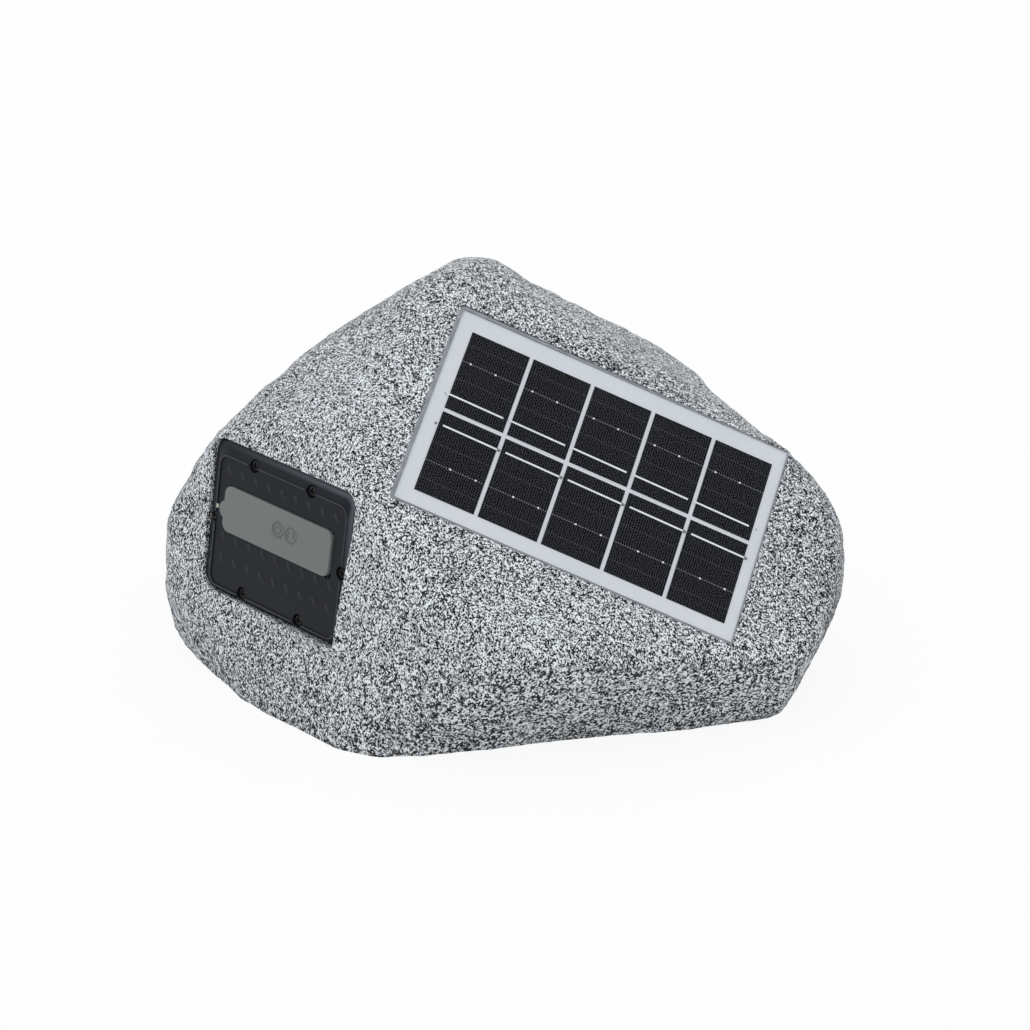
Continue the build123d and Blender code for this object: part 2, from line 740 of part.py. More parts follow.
with BuildPart() as control_cover:
    with BuildSketch(cover_plane.offset(cover_back)):
        RectangleRounded(cover_width, cover_height, cover_corner)
    extrude(amount=cover_edge)
    with BuildSketch(cover_plane.offset(cover_back + cover_edge)):
        RectangleRounded(cover_width, cover_height, cover_corner)
    with BuildSketch(cover_plane.offset(cover_field)):
        with Locations((field_across, -field_drop)):
            RectangleRounded(field_width, field_height, field_corner)
    loft()
    with BuildSketch(cover_plane.offset(cover_field)):
        with Locations((field_across, -field_drop)):
            RectangleRounded(field_width, field_height, field_corner)
            RectangleRounded(field_width - 2 * bead_width, field_height - 2 * bead_width,
                             field_corner - bead_width, mode=Mode.SUBTRACT)
    extrude(amount=bead_height)
    with BuildSketch(cover_plane.offset(cover_field)):
        with Locations(*open_studs):
            Ellipse(stud_length / 2, stud_width / 2, rotation=stud_turn)
    extrude(amount=stud_height)
    with BuildSketch(cover_plane.offset(cover_field - cover_head_sink)):
        with Locations(*cover_screw_places):
            Circle(cover_head_pocket)
    extrude(amount=cut_reach, mode=Mode.SUBTRACT)
    with BuildSketch(cover_plane.offset(cover_back)):
        with Locations(*cover_screw_places):
            Circle(cover_screw_radius + screw_hole_gap)
    extrude(amount=cut_reach, mode=Mode.SUBTRACT)
    with BuildSketch(flap_plane.offset(pocket_floor)):
        RectangleRounded(flap_width + 2 * flap_gap, flap_height + 2 * flap_gap, flap_corner + flap_gap)
        with Locations((ear_radius - ear_reach - flap_width / 2, -ear_drop)):
            Circle(ear_radius + flap_gap)
        with Locations((axis_across, 0)):
            RectangleRounded(2 * axis_clear, flap_height + 2 * flap_gap, hinge_corner)
    extrude(amount=cut_reach, mode=Mode.SUBTRACT)
    with BuildSketch(cover_plane.offset(cover_back)):
        with Locations(*button_places):
            Circle(button_radius + button_gap)
        with Locations((usb_across, flap_up)):
            RectangleRounded(usb_width + 2 * usb_slot_gap, usb_thickness + 2 * usb_slot_gap, usb_corner)
    extrude(amount=cut_reach, mode=Mode.SUBTRACT)
    with BuildSketch(hinge_plane):
        Circle(hinge_pin_radius)
    extrude(amount=flap_height / 2 + flap_gap + hinge_pin_seat, both=True, mode=Mode.SUBTRACT)
    with BuildSketch(cover_plane.offset(cover_back)):
        with Locations((-flap_width / 2 - lamp_offset, flap_up - ear_drop)):
            Circle(lamp_radius)
    extrude(amount=cut_reach, mode=Mode.SUBTRACT)

cover_screws = screws(cover_plane, cover_screw_places, cover_field - cover_head_sink,
                      (cover_head_radius, cover_head_height),
                      (cover_screw_radius, cover_screw_length + cover_edge))

with BuildPart() as status_lamp:
    with BuildSketch(cover_plane.offset(cover_back)):
        with Locations((-flap_width / 2 - lamp_offset, flap_up - ear_drop)):
            Circle(lamp_radius)
    extrude(amount=cover_edge + cover_rise + bead_height)

# Port flap with its pull ear, raised rings over the buttons, and the pin that it turns on
with BuildPart() as port_cover:
    with BuildSketch(flap_plane.offset(flap_bottom)):
        RectangleRounded(flap_width, flap_height, flap_corner)
        with Locations((ear_radius - ear_reach - flap_width / 2, -ear_drop)):
            Circle(ear_radius)
    extrude(amount=cover_field + flap_top - flap_bottom)
    flap_front = port_cover.faces().sort_by(Axis(flap_plane.origin, flap_plane.z_dir))[-1]
    fillet(flap_front.edges(), flap_edge_radius)
    with BuildSketch(hinge_plane):
        with Locations((flap_end, flap_axis - flap_bottom)):
            Rectangle(2 * flap_end, 2 * (flap_axis - flap_bottom) + 2 * flap_end)
        Circle(flap_end, mode=Mode.SUBTRACT)
        with Locations((0, -flap_end * 2)):
            Rectangle(4 * flap_end, 4 * flap_end, mode=Mode.SUBTRACT)
    extrude(amount=flap_height, both=True, mode=Mode.SUBTRACT)
    with BuildSketch(flap_plane.offset(cover_field + flap_top)):
        with Locations(*[(x, ring_up - flap_up) for x in ring_across]):
            Circle(ring_radius)
            Circle(ring_radius - ring_line, mode=Mode.SUBTRACT)
    extrude(amount=ring_height)
    with BuildSketch(flap_plane.offset(flap_bottom)):
        with Locations(*[(x, ring_up - flap_up) for x in ring_across]):
            Circle(button_radius + button_gap)
    extrude(amount=button_rise - flap_seat_gap + button_relief, mode=Mode.SUBTRACT)
    with BuildSketch(hinge_plane):
        Circle(hinge_pin_radius + hinge_pin_gap)
    extrude(amount=flap_height, both=True, mode=Mode.SUBTRACT)

with BuildPart() as hinge_pin:
    with BuildSketch(hinge_plane):
        Circle(hinge_pin_radius)
    extrude(amount=flap_height / 2 + flap_gap + hinge_pin_seat, both=True)


def push_button(place):
    """A plunger with a flange that stops it under the cover."""
    with BuildPart() as button:
        with BuildSketch(cover_plane.offset(button_low)):
            with Locations(place):
                Circle(button_radius)
        extrude(amount=pocket_floor + button_rise - button_low)
        with BuildSketch(cover_plane.offset(cover_back - button_flange_height)):
            with Locations(place):
                Circle(button_flange)
        extrude(amount=button_flange_height)
    return button.part


power_button = push_button(button_places[0])
pairing_button = push_button(button_places[1])

# Loudspeaker grille
with BuildPart() as grille_ring:
    with BuildSketch(driver_plane.offset(-ring_depth)):
        Circle(ring_outer)
        Circle(ring_inner, mode=Mode.SUBTRACT)
    extrude(amount=ring_depth + ring_proud)
    with BuildSketch(driver_plane.offset(-ring_depth)):
        Circle(grille_radius + screw_hole_gap)
    extrude(amount=grille_thickness, mode=Mode.SUBTRACT)
    with BuildSketch(driver_plane.offset(ring_proud - ring_step - small_head_height)):
        with Locations(*ring_screw_places):
            Circle(small_head_radius + screw_hole_gap)
    extrude(amount=cut_reach, mode=Mode.SUBTRACT)
    with BuildSketch(driver_plane.offset(-ring_depth)):
        with Locations(*ring_screw_places):
            Circle(small_screw_radius + screw_hole_gap)
    extrude(amount=cut_reach, mode=Mode.SUBTRACT)

ring_screw_seat = ring_proud - ring_step - small_head_height
ring_screws = screws(driver_plane, ring_screw_places, ring_screw_seat, (small_head_radius, small_head_height),
                     (small_screw_radius, ring_screw_seat + ring_depth + small_screw_length))

hole_steps = int(grille_field / grille_pitch) + 2
hole_rows = [(grille_pitch * (i + 0.5 * (j % 2)), grille_pitch * j * 0.75 ** 0.5)
             for i in range(-hole_steps, hole_steps + 1) for j in range(-hole_steps, hole_steps + 1)]
hole_places = [(x, y) for x, y in hole_rows if x * x + y * y < grille_field ** 2]

with BuildPart() as grille:
    with BuildSketch(driver_plane.offset(-ring_depth)):
        Circle(grille_radius)
        with Locations(*hole_places):
            Circle(grille_hole, mode=Mode.SUBTRACT)
    extrude(amount=grille_thickness)

# Loudspeaker frame and magnet
with BuildPart() as driver_gasket:
    with BuildSketch(driver_plane.offset(-driver_recess)):
        Circle(flange_outer)
        Circle(baffle_hole, mode=Mode.SUBTRACT)
        with Locations(*driver_screw_places):
            Circle(driver_screw_radius + screw_hole_gap, mode=Mode.SUBTRACT)
    extrude(amount=driver_seal)

half_driver = Plane(driver_plane.origin, x_dir=driver_plane.x_dir, z_dir=-driver_plane.y_dir)
driver_axis = Axis(driver_plane.origin, driver_plane.z_dir)
ledge_front = basket_back + spider_height
lean_ratio = (throat - basket_rear) / (flange_back - basket_back - basket_plate)
ledge_outer = basket_rear + lean_ratio * (ledge_front - basket_back - basket_plate) - basket_wall

with BuildPart() as driver_basket:
    with BuildSketch(half_driver):
        with BuildLine():
            Polyline((flange_outer, flange_front), (flange_outer, flange_back), (throat, flange_back),
                     (basket_rear, basket_back + basket_plate), (basket_rear, basket_back),
                     (basket_bore, basket_back), (basket_bore, basket_back + basket_plate),
                     (spider_ledge, basket_back + basket_plate), (spider_ledge, ledge_front),
                     (ledge_outer, ledge_front), (flange_inner, flange_back), (flange_inner, flange_front),
                     close=True)
        make_face()
    revolve(axis=driver_axis)
    with BuildSketch(driver_plane.offset(ledge_front + window_low)):
        with PolarLocations(basket_rear + window_width / 2 - basket_wall * 2, 4, start_angle=45):
            Rectangle(window_width, window_width)
    extrude(amount=flange_back - window_high - ledge_front - window_low, mode=Mode.SUBTRACT)
    with BuildSketch(driver_plane.offset(basket_back)):
        with Locations((0, -basket_rear - tab_reach / 2 + basket_wall)):
            Rectangle(tab_width, tab_reach + 2 * basket_wall)
    extrude(amount=basket_plate)
    with BuildSketch(driver_plane.offset(flange_back)):
        with Locations(*driver_screw_places):
            Circle(driver_screw_radius + screw_hole_gap)
    extrude(amount=flange_thickness, mode=Mode.SUBTRACT)

driver_shank = driver_screw_length + flange_thickness + driver_seal - screw_tip_gap
driver_screws = screws(driver_plane, driver_screw_places, flange_front,
                       (driver_head_radius, driver_head_height), (driver_screw_radius, driver_shank))


def ring(plane, outer, inner, height):
    """A flat ring that stands on the plane."""
    with BuildPart() as washer:
        with BuildSketch(plane):
            Circle(outer)
            Circle(inner, mode=Mode.SUBTRACT)
        extrude(amount=height)
    return washer.part


top_plate = ring(driver_plane.offset(top_plate_back), plate_outer, coil_outer + coil_gap, plate_height)
magnet = ring(driver_plane.offset(magnet_back), magnet_outer, magnet_inner, magnet_height)

with BuildPart() as pole_yoke:
    with BuildSketch(driver_plane.offset(magnet_back - plate_height)):
        Circle(plate_outer)
    extrude(amount=plate_height)
    with BuildSketch(driver_plane.offset(magnet_back)):
        Circle(pole_radius)
    extrude(amount=magnet_height + plate_height)

with BuildPart() as terminal_strip:
    with BuildSketch(driver_plane.offset(basket_back)):
        with Locations((0, -basket_rear - tab_reach / 2)):
            Rectangle(tab_width, tab_reach - strip_short)
    extrude(amount=-board_thickness)
    with BuildSketch(driver_plane.offset(basket_back - board_thickness)):
        with Locations((0, -basket_rear - tab_reach / 2)):
            Rectangle(tab_width / 2, tab_reach / 2)
    extrude(amount=-terminal_height)

# Moving assembly of the loudspeaker
coil_front = flange_front - coil_top
voice_coil = ring(driver_plane.offset(coil_front - coil_length), coil_outer, coil_inner, coil_length)

roll_centre = flange_inner - roll_radius + roll_lap
cone_edge = roll_centre - roll_radius
neck_front = coil_front - coil_stand

with BuildPart() as cone:
    with BuildSketch(half_driver):
        with BuildLine():
            Polyline((coil_outer, neck_front - cone_neck),
                     (coil_outer + cone_thickness, neck_front - cone_neck),
                     (cone_edge - cone_lip, flange_front - cone_thickness),
                     (cone_edge, flange_front - cone_thickness),
                     (cone_edge, flange_front), (cone_edge - cone_lip, flange_front),
                     (coil_outer, neck_front), close=True)
        make_face()
    revolve(axis=driver_axis)

cone_rise = (flange_front - neck_front) / (cone_edge - cone_lip - coil_outer)
cap_back = neck_front + cone_rise * (cap_radius - coil_outer)

with BuildPart() as dust_cap:
    with BuildSketch(half_driver):
        with BuildLine():
            ThreePointArc((-cap_radius, cap_back), (0, cap_back + cap_rise), (cap_radius, cap_back))
            Line((cap_radius, cap_back), (cap_radius - cone_thickness, cap_back))
            ThreePointArc((cap_radius - cone_thickness, cap_back), (0, cap_back + cap_rise - cone_thickness),
                          (cone_thickness - cap_radius, cap_back))
            Line((cone_thickness - cap_radius, cap_back), (-cap_radius, cap_back))
        make_face()
        split(bisect_by=Plane.YZ, keep=Keep.TOP)
    revolve(axis=driver_axis)

with BuildPart() as surround:
    with BuildSketch(half_driver):
        with Locations((roll_centre, flange_front)):
            Circle(roll_radius + roll_wall)
            Circle(roll_radius, mode=Mode.SUBTRACT)
        with Locations((roll_centre, flange_front - roll_radius)):
            Rectangle(4 * roll_radius, 2 * roll_radius, mode=Mode.SUBTRACT)
        with Locations((cone_edge - cone_lip / 2, flange_front + roll_wall / 2)):
            Rectangle(cone_lip, roll_wall)
        with Locations((roll_centre + roll_radius + lip_outer / 2, flange_front + roll_wall / 2)):
            Rectangle(lip_outer, roll_wall)
    revolve(axis=driver_axis)

wave_step = (ledge_outer - spider_margin - coil_outer) / (2 * spider_waves + 1)
wave_points = [(coil_outer + wave_step * i, ledge_front + spider_wave * (i % 2))
               for i in range(2 * spider_waves + 1)]
wave_points.append((ledge_outer - spider_margin, ledge_front))

with BuildPart() as spider:
    with BuildSketch(half_driver):
        with BuildLine():
            Polyline(*wave_points, *[(x, z + spider_thickness) for x, z in reversed(wave_points)], close=True)
        make_face()
    revolve(axis=driver_axis)

# Amplifier board on its posts
amp_plane = Plane.XY.offset(plate_thickness + amp_post_height).shift_origin(
    (amp_centre[0], amp_centre[1], plate_thickness + amp_post_height))
amp_local = [(x - amp_centre[0], y - amp_centre[1]) for x, y in amp_holes]
amp_top = amp_plane.offset(board_thickness)

with BuildPart() as amplifier_board:
    with BuildSketch(amp_plane):
        RectangleRounded(amp_length, amp_width, amp_corner)
        with Locations(*amp_local):
            Circle(amp_screw_radius + screw_hole_gap, mode=Mode.SUBTRACT)
    extrude(amount=board_thickness)

board_screws = screws(amp_plane, amp_local, board_thickness, (amp_head_radius, amp_head_height),
                      (amp_screw_radius, amp_screw_length))

with BuildPart() as amplifier_chip:
    with BuildSketch(amp_top):
        with Locations(sink_place):
            Rectangle(chip_size[0], chip_size[1])
    extrude(amount=chip_size[2])

fin_pitch = (sink_size[0] - sink_fin) / (sink_fins - 1)
with BuildPart() as heat_sink:
    with BuildSketch(amp_top.offset(chip_size[2])):
        with Locations(sink_place):
            Rectangle(sink_size[0], sink_size[1])
    extrude(amount=sink_base)
    with BuildSketch(amp_top.offset(chip_size[2] + sink_base)):
        with Locations(sink_place):
            with GridLocations(fin_pitch, 1.0, sink_fins, 1):
                Rectangle(sink_fin, sink_size[1])
    extrude(amount=sink_size[2] - sink_base)

with BuildPart() as capacitors:
    with BuildSketch(amp_top):
        with Locations(*capacitor_places):
            Circle(capacitor_radius)
    extrude(amount=capacitor_height)
    fillet(capacitors.edges().group_by(Axis.Z)[-1], capacitor_edge)

with BuildPart() as inductors:
    with BuildSketch(amp_top):
        with Locations(*inductor_places):
            RectangleRounded(inductor_size[0], inductor_size[1], inductor_corner)
    extrude(amount=inductor_size[2])

with BuildPart() as board_sockets:
    with BuildSketch(amp_top):
        with Locations(*[(socket_side, y) for y in socket_rows]):
            Rectangle(socket_size[0], socket_size[1])
    extrude(amount=socket_size[2])

# Battery cells in their tray, under a strap
tray_plane = Plane.XY.offset(plate_thickness).shift_origin((tray_centre[0], tray_centre[1], plate_thickness))
cell_axis_height = tray_wall + tray_gap + cell_radius

with BuildPart() as battery_tray:
    with BuildSketch(tray_plane):
        RectangleRounded(tray_length, tray_width, tray_corner)
    extrude(amount=tray_height)
    with BuildSketch(tray_plane.offset(tray_wall)):
        Rectangle(tray_length - 2 * tray_wall, tray_width - 2 * tray_wall)
    extrude(amount=tray_height, mode=Mode.SUBTRACT)
    with BuildSketch(tray_plane.offset(tray_wall)):
        with GridLocations(cell_length - 2 * tray_ear, 1.0, 2, 1):
            Rectangle(tray_ear, tray_width - 2 * tray_wall)
    extrude(amount=tray_gap)
    with BuildSketch(tray_plane):
        with GridLocations(1.0, tray_width + tray_ear - tray_wall, 1, 2):
            Rectangle(strap_width + 2 * foot_margin, tray_ear + tray_wall)
    extrude(amount=tray_height / 2)
    with BuildSketch(tray_plane.offset(tray_height / 2)):
        with Locations(*[(0, y * (tray_width + tray_ear) / 2) for y in (-1, 1)]):
            Circle(small_screw_radius)
    extrude(amount=-strap_screw_length, mode=Mode.SUBTRACT)

cell_row = [(tray_centre[1] + (i - (cell_count - 1) / 2) * cell_pitch, plate_thickness + cell_axis_height)
            for i in range(cell_count)]
cell_end = Plane(origin=(tray_centre[0] - cell_length / 2, 0, 0), x_dir=(0, 1, 0), z_dir=(1, 0, 0))
with BuildPart() as battery_cells:
    with BuildSketch(cell_end):
        with Locations(*cell_row):
            Circle(cell_radius)
    extrude(amount=cell_length)

foot_top = plate_thickness + tray_height / 2
strap_top = plate_thickness + cell_axis_height + cell_radius
strap_side = tray_width / 2 + strap_gap
foot_end = tray_width / 2 + tray_ear - foot_short
strap_edge = tray_centre[0] - strap_width / 2
strap_plane = Plane(origin=(strap_edge, tray_centre[1], 0), x_dir=(0, 1, 0), z_dir=(1, 0, 0))
with BuildPart() as battery_strap:
    with BuildSketch(strap_plane):
        with BuildLine():
            Polyline((-foot_end, foot_top), (-strap_side, foot_top), (-strap_side, strap_top),
                     (strap_side, strap_top), (strap_side, foot_top), (foot_end, foot_top),
                     (foot_end, foot_top + strap_thickness),
                     (strap_side + strap_thickness, foot_top + strap_thickness),
                     (strap_side + strap_thickness, strap_top + strap_thickness),
                     (-strap_side - strap_thickness, strap_top + strap_thickness),
                     (-strap_side - strap_thickness, foot_top + strap_thickness),
                     (-foot_end, foot_top + strap_thickness), close=True)
        make_face()
    extrude(amount=strap_width)
    with BuildSketch(Plane.XY.offset(foot_top)):
        with Locations(*strap_holes):
            Circle(small_screw_radius + screw_hole_gap)
    extrude(amount=strap_thickness, mode=Mode.SUBTRACT)

strap_screws = screws(Plane.XY, strap_holes, foot_top + strap_thickness,
                      (small_head_radius, small_head_height), (small_screw_radius, strap_screw_length))

# Leads from the panel, the controls, the battery and the loudspeaker to the board's sockets
socket_face = amp_centre[0] + socket_side - socket_size[0] / 2
socket_z = plate_thickness + amp_post_height + board_thickness + socket_size[2] / 2


def socket_end(row):
    """The middle of a socket's open face, and a point straight out of it."""
    y = amp_centre[1] + socket_rows[row]
    return [(socket_face - socket_run, y, socket_z), (socket_face, y, socket_z)]


def out_of(plane, across, up, height, run):
    """A point on a plane's own grid, and one that is further along its normal."""
    return [tuple(plane.from_local_coords((across, up, z))) for z in (height, height + run)]


solar_lead = lead(out_of(panel_plane, 0, 0, panel_floor - junction_depth, -solar_lead_run)
                  + list(solar_lead_points) + socket_end(1), solar_lead_bend)
control_lead = lead(out_of(cover_plane, 0, grommet_up, box_floor + box_wall, -control_lead_run)
                    + list(control_lead_points) + socket_end(0), control_lead_bend)
strip_back = basket_back - board_thickness - terminal_height
speaker_lead = lead(out_of(driver_plane, 0, -basket_rear - tab_reach / 2, strip_back, -speaker_lead_run)
                    + list(speaker_lead_points) + socket_end(3), speaker_lead_bend)
battery_y = tray_centre[1]
battery_z = plate_thickness + cell_axis_height + cell_radius / 2
battery_end = tray_centre[0] + cell_length / 2
battery_lead = lead([(battery_end, battery_y, battery_z), (battery_end + socket_run, battery_y, battery_z)]
                    + socket_end(2), battery_lead_bend)

pieces = {
    "rock_shell": rock_shell.part,
    "base_plate": base_plate.part,
    "base_gasket": base_gasket.part,
    "base_screws": base_screws,
    "solar_backsheet": solar_backsheet.part,
    "solar_cells": solar_cells.part,
    "cell_ribbons": cell_ribbons.part,
    "solar_cover": solar_cover.part,
    "panel_seal": panel_seal.part,
    "junction_box": junction_box.part,
    "control_box": control_box.part,
    "cover_gasket": cover_gasket.part,
    "control_cover": control_cover.part,
    "cover_screws": cover_screws,
    "status_lamp": status_lamp.part,
    "port_cover": port_cover.part,
    "hinge_pin": hinge_pin.part,
    "power_button": power_button,
    "pairing_button": pairing_button,
    "control_board": control_board.part,
    "control_board_screws": control_board_screws,
    "tact_switches": tact_switches.part,
    "usb_socket": usb_socket.part,
    "box_grommet": box_grommet.part,
    "grille": grille.part,
    "grille_ring": grille_ring.part,
    "ring_screws": ring_screws,
    "driver_gasket": driver_gasket.part,
    "driver_basket": driver_basket.part,
    "driver_screws": driver_screws,
    "top_plate": top_plate,
    "magnet": magnet,
    "pole_yoke": pole_yoke.part,
    "terminal_strip": terminal_strip.part,
    "voice_coil": voice_coil,
    "cone": cone.part,
    "dust_cap": dust_cap.part,
    "surround": surround.part,
    "spider": spider.part,
    "amplifier_board": amplifier_board.part,
    "board_screws": board_screws,
    "amplifier_chip": amplifier_chip.part,
    "heat_sink": heat_sink.part,
    "capacitors": capacitors.part,
    "inductors": inductors.part,
    "board_sockets": board_sockets.part,
    "battery_tray": battery_tray.part,
    "battery_cells": battery_cells.part,
    "battery_strap": battery_strap.part,
    "strap_screws": strap_screws,
    "solar_lead": solar_lead,
    "control_lead": control_lead,
    "speaker_lead": speaker_lead,
    "battery_lead": battery_lead,
}
for name, piece in pieces.items():
    piece.label = name
    export_step(piece, f"parts/{name}.step")
    print(name, round(piece.volume, 1))
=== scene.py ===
# %% [markdown]
# # A garden speaker that looks like a rock
# The speaker is a hollow moulding with a solar panel on its sloping front, a black control cover at
# its left and a loudspeaker that looks out of the back. The CAD model gives the true sizes and the
# moving parts. This lesson adds what CAD leaves plain: the granite skin, small rounded forms such
# as studs, beads and screw heads, and every finish.

# %% Load the frame
import itertools
import math

import bpy
import numpy as np
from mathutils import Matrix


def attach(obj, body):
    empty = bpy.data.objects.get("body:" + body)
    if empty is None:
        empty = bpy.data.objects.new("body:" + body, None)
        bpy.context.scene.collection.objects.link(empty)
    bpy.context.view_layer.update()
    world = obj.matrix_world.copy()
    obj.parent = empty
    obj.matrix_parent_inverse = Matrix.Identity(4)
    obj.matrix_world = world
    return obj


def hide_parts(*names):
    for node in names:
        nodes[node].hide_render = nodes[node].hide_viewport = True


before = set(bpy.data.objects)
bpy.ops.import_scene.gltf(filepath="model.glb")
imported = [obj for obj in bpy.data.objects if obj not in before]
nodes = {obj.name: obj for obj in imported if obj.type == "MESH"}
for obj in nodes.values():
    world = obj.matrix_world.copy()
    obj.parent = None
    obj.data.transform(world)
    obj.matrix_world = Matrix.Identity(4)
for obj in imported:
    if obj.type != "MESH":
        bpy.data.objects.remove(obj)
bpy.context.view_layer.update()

# %% [markdown]
# ## From arrays to meshes
# A piece could be modelled by hand or with operators. Here each one is a surface worked out as a
# whole array of points, because then its formula can be read, changed and run again. Two helpers
# turn arrays into a mesh: one lists the quads of a grid, the other fills the mesh in one go.

# %% Mesh helpers
MM = 0.001


def grid_faces(rows, columns, around=False, closed=False):
    """Quads between neighbouring rows and columns of a grid.

    Around joins the last column to the first, and closed joins the last row to the first.
    """
    r = np.arange(rows if closed else rows - 1)[:, None] * columns
    c = np.arange(columns if around else columns - 1)[None, :]
    n = (c + 1) % columns
    s = (r + columns) % (rows * columns)
    return np.stack([r + c, r + n, s + n, s + c], -1).reshape(-1, 4)


def make_piece(name, points, faces, body="speaker"):
    """A smooth mesh from points in millimetres and an array of faces that all have as many sides."""
    points = np.asarray(points, float).reshape(-1, 3) * MM
    faces = np.asarray(faces, np.int32)
    count, sides = faces.shape
    mesh = bpy.data.meshes.new(name)
    mesh.vertices.add(len(points))
    mesh.vertices.foreach_set("co", points.astype(np.float32).ravel())
    mesh.loops.add(count * sides)
    mesh.loops.foreach_set("vertex_index", faces.ravel())
    mesh.polygons.add(count)
    mesh.polygons.foreach_set("loop_start", np.arange(0, count * sides, sides, dtype=np.int32))
    mesh.polygons.foreach_set("use_smooth", np.ones(count, bool))
    mesh.update(calc_edges=True)
    piece = bpy.data.objects.new(name, mesh)
    bpy.context.scene.collection.objects.link(piece)
    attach(piece, body)
    print(name, "has", count * (sides - 2), "triangles")
    return piece


def copies(shape, faces, places):
    """The same small grid of points at each place: all points, and the faces counted on for each copy."""
    shape = shape.reshape(-1, 3)
    points = np.asarray(places)[:, None, :] + shape[None, :, :]
    steps = np.arange(len(places))[:, None, None] * len(shape)
    return points.reshape(-1, 3), (faces[None] + steps).reshape(-1, faces.shape[1])


# %% [markdown]
# ## The rock's faces
# The mould maker cut the rock as broad flat faces with worn edges. Each face is a heading from the
# front, a slope above level and a distance from a core point, the same numbers as in the CAD model.
# The panel, the cover and the loudspeaker each lie on one face, so each gets a small frame of its
# own: an origin, a level x, an upward y and the outward normal.

# %% Faces and seats
CORE = np.array([0.0, 0.0, 80.0])
FACES = np.array([
    [27, 48.6, 60], [-45, 10, 102], [-22, 2, 108], [12, -31, 112], [-58, 57, 103], [83, 5, 161],
    [101, 49, 131], [73, -23, 162], [107, 57, 98], [-96, 2, 169], [-62, -21, 151], [180, 15, 117],
    [124, 18, 128], [-123, 35, 123], [168, 44, 120], [-129, 52, 120], [10, 80, 129]], float)
PANEL_FACE, COVER_FACE, DRIVER_FACE = 0, 1, 11
HEADING, SLOPE = np.radians(FACES[:, 0]), np.radians(FACES[:, 1])
NORMALS = np.stack([np.sin(HEADING) * np.cos(SLOPE), -np.cos(HEADING) * np.cos(SLOPE), np.sin(SLOPE)], -1)


def seat_on(face, across=0.0, up=0.0, roll=0.0):
    """A frame on a face, moved within it and turned about its normal: its origin, and its axes as rows."""
    h = HEADING[face]
    normal = NORMALS[face]
    level = np.array([math.cos(h), math.sin(h), 0.0])
    rise = np.cross(normal, level)
    origin = CORE + normal * FACES[face, 2] + level * across + rise * up
    t = math.radians(roll)
    right_axis = level * math.cos(t) + rise * math.sin(t)
    up_axis = rise * math.cos(t) - level * math.sin(t)
    return origin, np.stack([right_axis, up_axis, normal])


def to_seat(points, seat):
    """Points in a seat's frame: their offset from its origin, measured along each of its axes."""
    return (points - seat[0]) @ seat[1].T


def from_seat(local, seat):
    """The way back: the seat's origin plus each coordinate times its axis."""
    return seat[0] + np.asarray(local) @ seat[1]


PANEL = seat_on(PANEL_FACE, across=22.6, up=-12.7, roll=-38.3)
COVER = seat_on(COVER_FACE, across=-47.8, up=-13.3)
DRIVER = seat_on(DRIVER_FACE, up=-38.0)
PANEL_SIZE, PANEL_CORNER = (169.0, 108.5), 1.5
SEAL_TOP_LEFT, SEAL_BOTTOM_RIGHT = 1.8, 0.5
SEAL_TAPER = 1.0
COVER_SIZE = (99.0, 75.0)
COVER_GAP, COVER_LIP = 0.4, 2.5
COVER_CORNER, COVER_SHARP_CORNER = 8.4, 2.5
RING_RADIUS = 55.4
for name, seat in (("panel", PANEL), ("cover", COVER), ("driver", DRIVER)):
    print(name, "centre", seat[0].round(1))

# %% [markdown]
# ## The granite skin
# The real shell is a moulding taken from carved stone: flat faces, worn edges and small lumps. It
# could be sculpted, but here it is one formula. A point lies on the skin where a soft maximum of its
# distances to all the faces is nought, which rounds every edge by itself. Gradient noise at a few
# wavelengths then pushes the skin in and out, and fades away near the panel, cover and grille.

# %% Noise and distances
dice = np.random.default_rng(11)
SHUFFLE = dice.permutation(256)
SLANTS = dice.normal(size=(256, 3))
SLANTS /= np.linalg.norm(SLANTS, axis=1, keepdims=True)


def noise(points):
    """Gradient noise: a random slope at each corner of a unit lattice, blended by a smooth step."""
    cell = np.floor(points).astype(int)
    inner = points - cell
    ease = inner ** 3 * (inner * (inner * 6 - 15) + 10)
    total = np.zeros(points.shape[:-1])
    for corner in itertools.product((0, 1), repeat=3):
        at = (cell + corner) & 255
        pick = SHUFFLE[(SHUFFLE[(SHUFFLE[at[..., 0]] + at[..., 1]) & 255] + at[..., 2]) & 255]
        share = np.prod(np.where(np.array(corner) == 1, ease, 1 - ease), axis=-1)
        total += share * np.sum(SLANTS[pick] * (inner - corner), -1)
    return total


def smooth(t):
    """The smooth step from 0 to 1."""
    t = np.clip(t, 0, 1)
    return t * t * (3 - 2 * t)


def box_distance(x, y, half_x, half_y, corner):
    """Distance to a rounded rectangle, negative inside: a smaller rectangle, grown by the corner radius."""
    qx = np.abs(x) - half_x + corner
    qy = np.abs(y) - half_y + corner
    return np.hypot(np.maximum(qx, 0), np.maximum(qy, 0)) + np.minimum(np.maximum(qx, qy), 0) - corner


def panel_distance(local):
    """The panel's recess: wider at the top and left, where the sealant shows, and tapering along the top."""
    wide = (SEAL_TOP_LEFT + SEAL_BOTTOM_RIGHT) / 2
    shift = (SEAL_TOP_LEFT - SEAL_BOTTOM_RIGHT) / 2
    x, y = local[..., 0], local[..., 1]
    y = y + np.where(y > 0, SEAL_TAPER * x / PANEL_SIZE[0] * 2, 0)
    half_x, half_y = PANEL_SIZE[0] / 2 + wide, PANEL_SIZE[1] / 2 + wide
    return box_distance(x + shift, y - shift, half_x, half_y, PANEL_CORNER)


